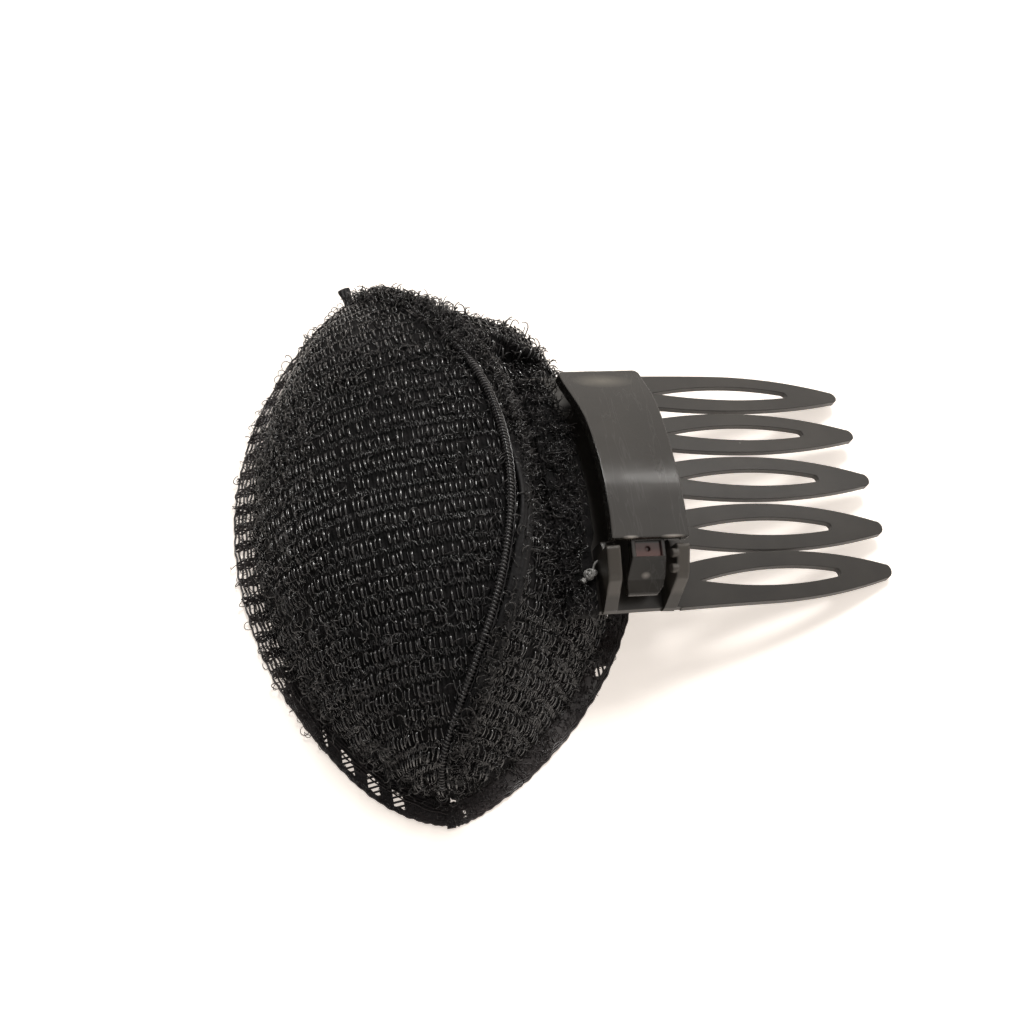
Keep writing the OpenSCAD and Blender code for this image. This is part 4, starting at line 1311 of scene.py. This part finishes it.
def makeTab():
    # A flat strip with rounded edges that flares a little towards its outer end, tilted up and turned aside
    v = np.linspace(-0.5, 0.5, 25)
    a = 2 * np.pi * np.arange(20) / 20
    wide = tab["size"][0] / 2 * (0.80 + 0.20 * np.clip(v * 3, 0, 1) ** 1.5)
    thick = tab["size"][2] / 2 * (0.95 - 0.25 * np.clip(v * 2, 0, 1))
    ends = np.clip((0.5 - np.abs(v)) * 30, 0.25, 1) ** 0.5
    flat = lambda c: np.sign(c) * np.abs(c) ** 0.6
    x = (wide * ends)[:, None] * flat(np.cos(a))
    z = (thick * ends)[:, None] * flat(np.sin(a)) + 0.05 * np.sin(9 * v)[:, None]
    y = tab["size"][1] * v[:, None] + 0 * x
    y, z = turned(y, z, tab["tilt"])
    x, y = turned(x, y, tab["turn"])
    far = pad["middleY"] + pad["dome"][0] + pad["hemWidth"]
    points, faces = sweep(np.stack([x, y, z], axis=-1) + [tipX(1.0), far, 0] + np.array(tab["at"]))
    uv = np.stack([x + 9, y + 60], axis=-1).reshape(-1, 2)
    return makePiece("end_tab", points, faces, "binding", "binding", uv=uv)


endTab = makeTab()
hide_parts("tip_tab")


# What is sewn over the plate and a thin dark sheet standing for the bar's shadow, in the comb's frame
strip = {
    "back": -23.5, "ends": (-21.3, 20.4), "thickness": 0.8, "thin": 0.3, "gap": 0.1,
    "rows": 181, "cols": 31, "tail": 3.2, "tailCols": 9, "ridge": 0.07, "fuzz": 0.04,
    "skirt": 1.3,       # how far it hangs down past the plate's near edge
    "hooks": 1000, "hookLift": 0.6, "bare": (-19.5, -15.6, 1.9),    # none round the knot: x, y and radius
    # seen from above, y and x: the edge of the doubled, hooked part and of the painted-shadow sheet beyond
    # it
    "edge": ((-21.3, -18.5), (-19.5, -19.1), (-17.8, -20.2), (-15, -21.2), (-10, -19.3),
             (-3, -18.8), (5, -18.7), (12, -18.8), (20.4, -19.2)),
    "shadeSheetEdge": ((-21.3, -18.5), (-11.5, -18.5), (-9, -17.6), (5, -17.1), (11, -17.5),
                 (14, -18.7), (20.4, -19.1)),
}


def plateTop(x, y):
    # Top of the plate: an arc across and a little sag lengthwise
    return np.sqrt(comb["archRadius"] ** 2 - y * y) - comb["archRadius"] - x * x / (2 * comb["sagRadius"])


def stripEdge(y, edge="edge"):
    return np.interp(y, *np.transpose(strip[edge]))


def backHeight(x, y):
    # Height of the back panel at a place seen from above
    s = np.clip((y - pad["middleY"]) / pad["dome"][0], -0.99, 0.99)
    height = pad["ridgeHeight"] * bow(s, pad["heightPower"])
    top = ridgeX(s) + pad["seamGap"]
    rim = tipX(s) + rimReach(False, s, 0)
    part = np.clip((x - top) / (rim - top), 0.0, 1)
    power = backPower(y)
    sine = np.sqrt(np.maximum(0, 1 - part ** (2 / power)))
    return np.minimum(height * sine ** power, seatHeight(x, y))


def makeStrip():
    # A thin pad over the plate's back edge, thin at its outline and low in the knit's courses, with a
    # single dark layer beyond it under the bar, a painted shadow. Behind the plate it comes down on the
    # back panel.
    y, r = np.linspace(*strip["ends"], strip["rows"])[:, None], np.linspace(0, 1, strip["cols"])
    x = strip["back"] + (stripEdge(y, "shadeSheetEdge") - strip["back"]) * r
    y = y + 0 * x
    ends = np.clip(np.minimum(y - strip["ends"][0], strip["ends"][1] - y) / 0.8, 0.02, 1)
    edge = np.clip((1.06 - r) * 5, 0.02, 1)
    full = np.minimum(ends, edge) ** 0.5
    ridges = strip["ridge"] * np.cos(2 * np.pi * y / netLook["course"])
    ridges = ridges + strip["fuzz"] * np.cos(9 * x + 2 * np.sin(3 * y))
    # past the doubled part lies only the thin dark sheet, a painted shadow of the bar on the plate
    doubled = np.clip((stripEdge(y) - x) * 1.5 + 0.5, 0, 1)
    thick = strip["thin"] + (strip["thickness"] - 0.1 + ridges - strip["thin"]) * doubled
    base = plateTop(x, y) + strip["gap"]
    hanging = np.clip((-comb["halfWidth"] - 0.05 - y) / 0.05, 0, 1)
    upper = fromComb(np.stack([x, y, base + thick * full], -1))
    under = fromComb(np.stack([x, y, base - strip["skirt"] * hanging], -1))
    reach = np.linspace(strip["tail"], 0, strip["tailCols"], endpoint=False)[None, :, None]
    tail = upper[:, :1] - reach * np.array([1.0, 0, 0])
    rest = backHeight(tail[..., 0], tail[..., 1]) + 0.25
    slope = np.clip(reach[..., 0] / strip["tail"], 0, 1) ** 0.5
    tail[..., 2] = np.maximum(tail[..., 2] * (1 - slope) + rest * slope, rest)
    tailUnder = tail.copy()
    tailUnder[..., 2] = np.minimum(rest - 0.1, under[:, :1, 2])
    upper = np.concatenate([tail, upper], axis=1)
    points, faces = shell(upper, np.concatenate([tailUnder, under], axis=1))
    uv = upper[..., :2].reshape(-1, 2)
    return makePiece("cover_net_and_shade_sheet", points, faces, "cloth", "hook_net", uv=np.concatenate([uv, uv]))


def makeStripHooks():
    # Curled hooks over the strip and just past its edge
    random = np.random.default_rng(51)
    count = strip["hooks"]
    y = random.uniform(strip["ends"][0] + 0.2, strip["ends"][1] - 0.3, count)
    back = strip["back"] - strip["tail"]
    over = np.where(y > 7, 1.0, 0.0)
    x = back + (stripEdge(y) + over - back) * random.random(count) ** 0.85
    knotX, knotY, size = strip["bare"]
    bare = np.hypot(x - knotX, y - knotY) > size
    x, y = x[bare], y[bare]
    spots = fromComb(np.stack([x, y, plateTop(x, y) + strip["gap"] + strip["hookLift"]], axis=-1))
    drop = backHeight(spots[:, 0], spots[:, 1]) + 0.3
    slope = np.clip((strip["back"] - x) / strip["tail"], 0, 1) ** 0.5
    hung = np.maximum(spots[:, 2] * (1 - slope) + drop * slope, drop)
    spots[:, 2] = np.where(x < strip["back"], hung, spots[:, 2])
    up = fromComb([[0, 0, 1]]) - fromComb([[0, 0, 0]])
    outward = np.repeat(up, len(spots), axis=0)
    outward[y < -20.3] = unit(up[0] + np.array([0, -1.2, 0]))
    return makePiece("strip_hooks", *makeHooks(spots, outward, 52, hooks["strip"]), "hook", "hook_net")


coverNetAndShadeSheet = makeStrip()
makeStripHooks()
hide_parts("cover_strip")


# The pale thread's knot, its loose curl, and the stitches
knot = {
    "loops": ((-19.75, -15.7, 0.95), (-18.8, -15.3, 0.55), (-20.6, -16.4, 0.5)),    # x, y and radius
    "thread": 0.13, "turns": 9, "gap": 0.35,
    "curl": 0.95, "curlAt": (-18.1, -15.2), "curlThread": 0.17, "curlLift": 1.25,
}
# places along the plate, half the pair's gap, x of the middle, half length, height, how far the ends drop
stitch = {
    "places": (-5, 5, 15.5), "aside": 0.22, "x": -20.8, "half": 2.3, "high": 1.12, "drop": 0.95,
    "thread": 0.13,
}


def knotLoops():
    # Round each centre a thread winds on a ball: a great circle whose plane turns from turn to turn
    parts = []
    for index, (x, y, size) in enumerate(knot["loops"]):
        a = np.linspace(0, 2 * np.pi * knot["turns"], 24 * knot["turns"])
        tilt = a * 0.37 + index
        reach = (size - knot["thread"]) * (0.9 + 0.1 * np.sin(1.7 * a + index))
        wound = [np.cos(a) * np.cos(tilt), np.sin(a), np.cos(a) * np.sin(tilt)]
        path = reach[:, None] * np.stack(wound, axis=-1)
        centre = np.array([x, y - 0.15, plateTop(x, y) + size + knot["gap"]])
        parts.append(tubes(fromComb(path + centre)[None], knot["thread"], 6))
        heart = centre + np.array([[-0.45, 0, 0], [0, 0.1, 0], [0.45, 0, 0]]) * size
        parts.append(tubes(fromComb(heart)[None], 0.5 * size, 8))
    return parts


def knotCurl():
    # A free end that leaves the knot, turns in an open loop seen from above and ends beside it
    a = np.linspace(0, 1, 40)
    turn = np.pi * (1.05 - 1.55 * a)
    x = knot["curlAt"][0] + knot["curl"] * np.cos(turn)
    y = knot["curlAt"][1] + 1.25 * knot["curl"] * np.sin(turn)
    high = plateTop(x, y) + knot["curlLift"] + 0.5 * np.sin(np.pi * a)
    return [tubes(fromComb(np.stack([x, y, high], axis=-1))[None], knot["curlThread"], 6)]


def makeKnot():
    return makePiece("knot", *joined(knotLoops() + knotCurl()), "knot", "knot_thread")


def makeStitches():
    # Pairs of short threads over the strip at the plate's holes, down past its edge on both sides
    parts = []
    a = np.linspace(-1, 1, 13)
    x = stitch["x"] + stitch["half"] * a
    bend = stitch["drop"] * np.clip(np.abs(a) - 0.75, 0, 1) * 4
    for y in stitch["places"]:
        for aside in (-stitch["aside"], stitch["aside"]):
            high = plateTop(x, y) + stitch["high"] - bend
            path = np.stack([x, y + aside + 0.15 * a, high], axis=-1)
            parts.append(tubes(fromComb(path)[None], stitch["thread"], 5))
    return makePiece("stitches", *joined(parts), "seam", "seam_thread")


knotPiece = makeKnot()
makeStitches()
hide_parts("thread_knot")


# The area of each panel's surface over the form, in square mm
def panelArea(panel):
    s = np.sin(panel["turn"])[:, None]
    grid = panel["surface"](s, np.linspace(0, 1, 121)[None])
    a, b = grid[1:, 1:] - grid[:-1, :-1], grid[1:, :-1] - grid[:-1, 1:]
    return 0.5 * np.linalg.norm(np.cross(a, b), axis=-1).sum()


for name, panel in panels.items():
    print("area", name, round(panelArea(panel), 1))


# The comb, its pin and the clasp bar keep their solids and get their finish
for node, material in (("comb", "comb"), ("hinge_pin", "comb"), ("clasp_bar", "bar")):
    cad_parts[node].material_slots[0].material = materials[material]


def makeFloor():
    # A large level square just under the part
    half, low = floorLook["half"], floorLook["low"]
    points = np.array([[-half, -half, low], [half, -half, low], [half, half, low], [-half, half, low]])
    return makePiece("floor", points, [np.array([[0, 1, 2, 3]])], "floor")


makeFloor()
print("floor laid")
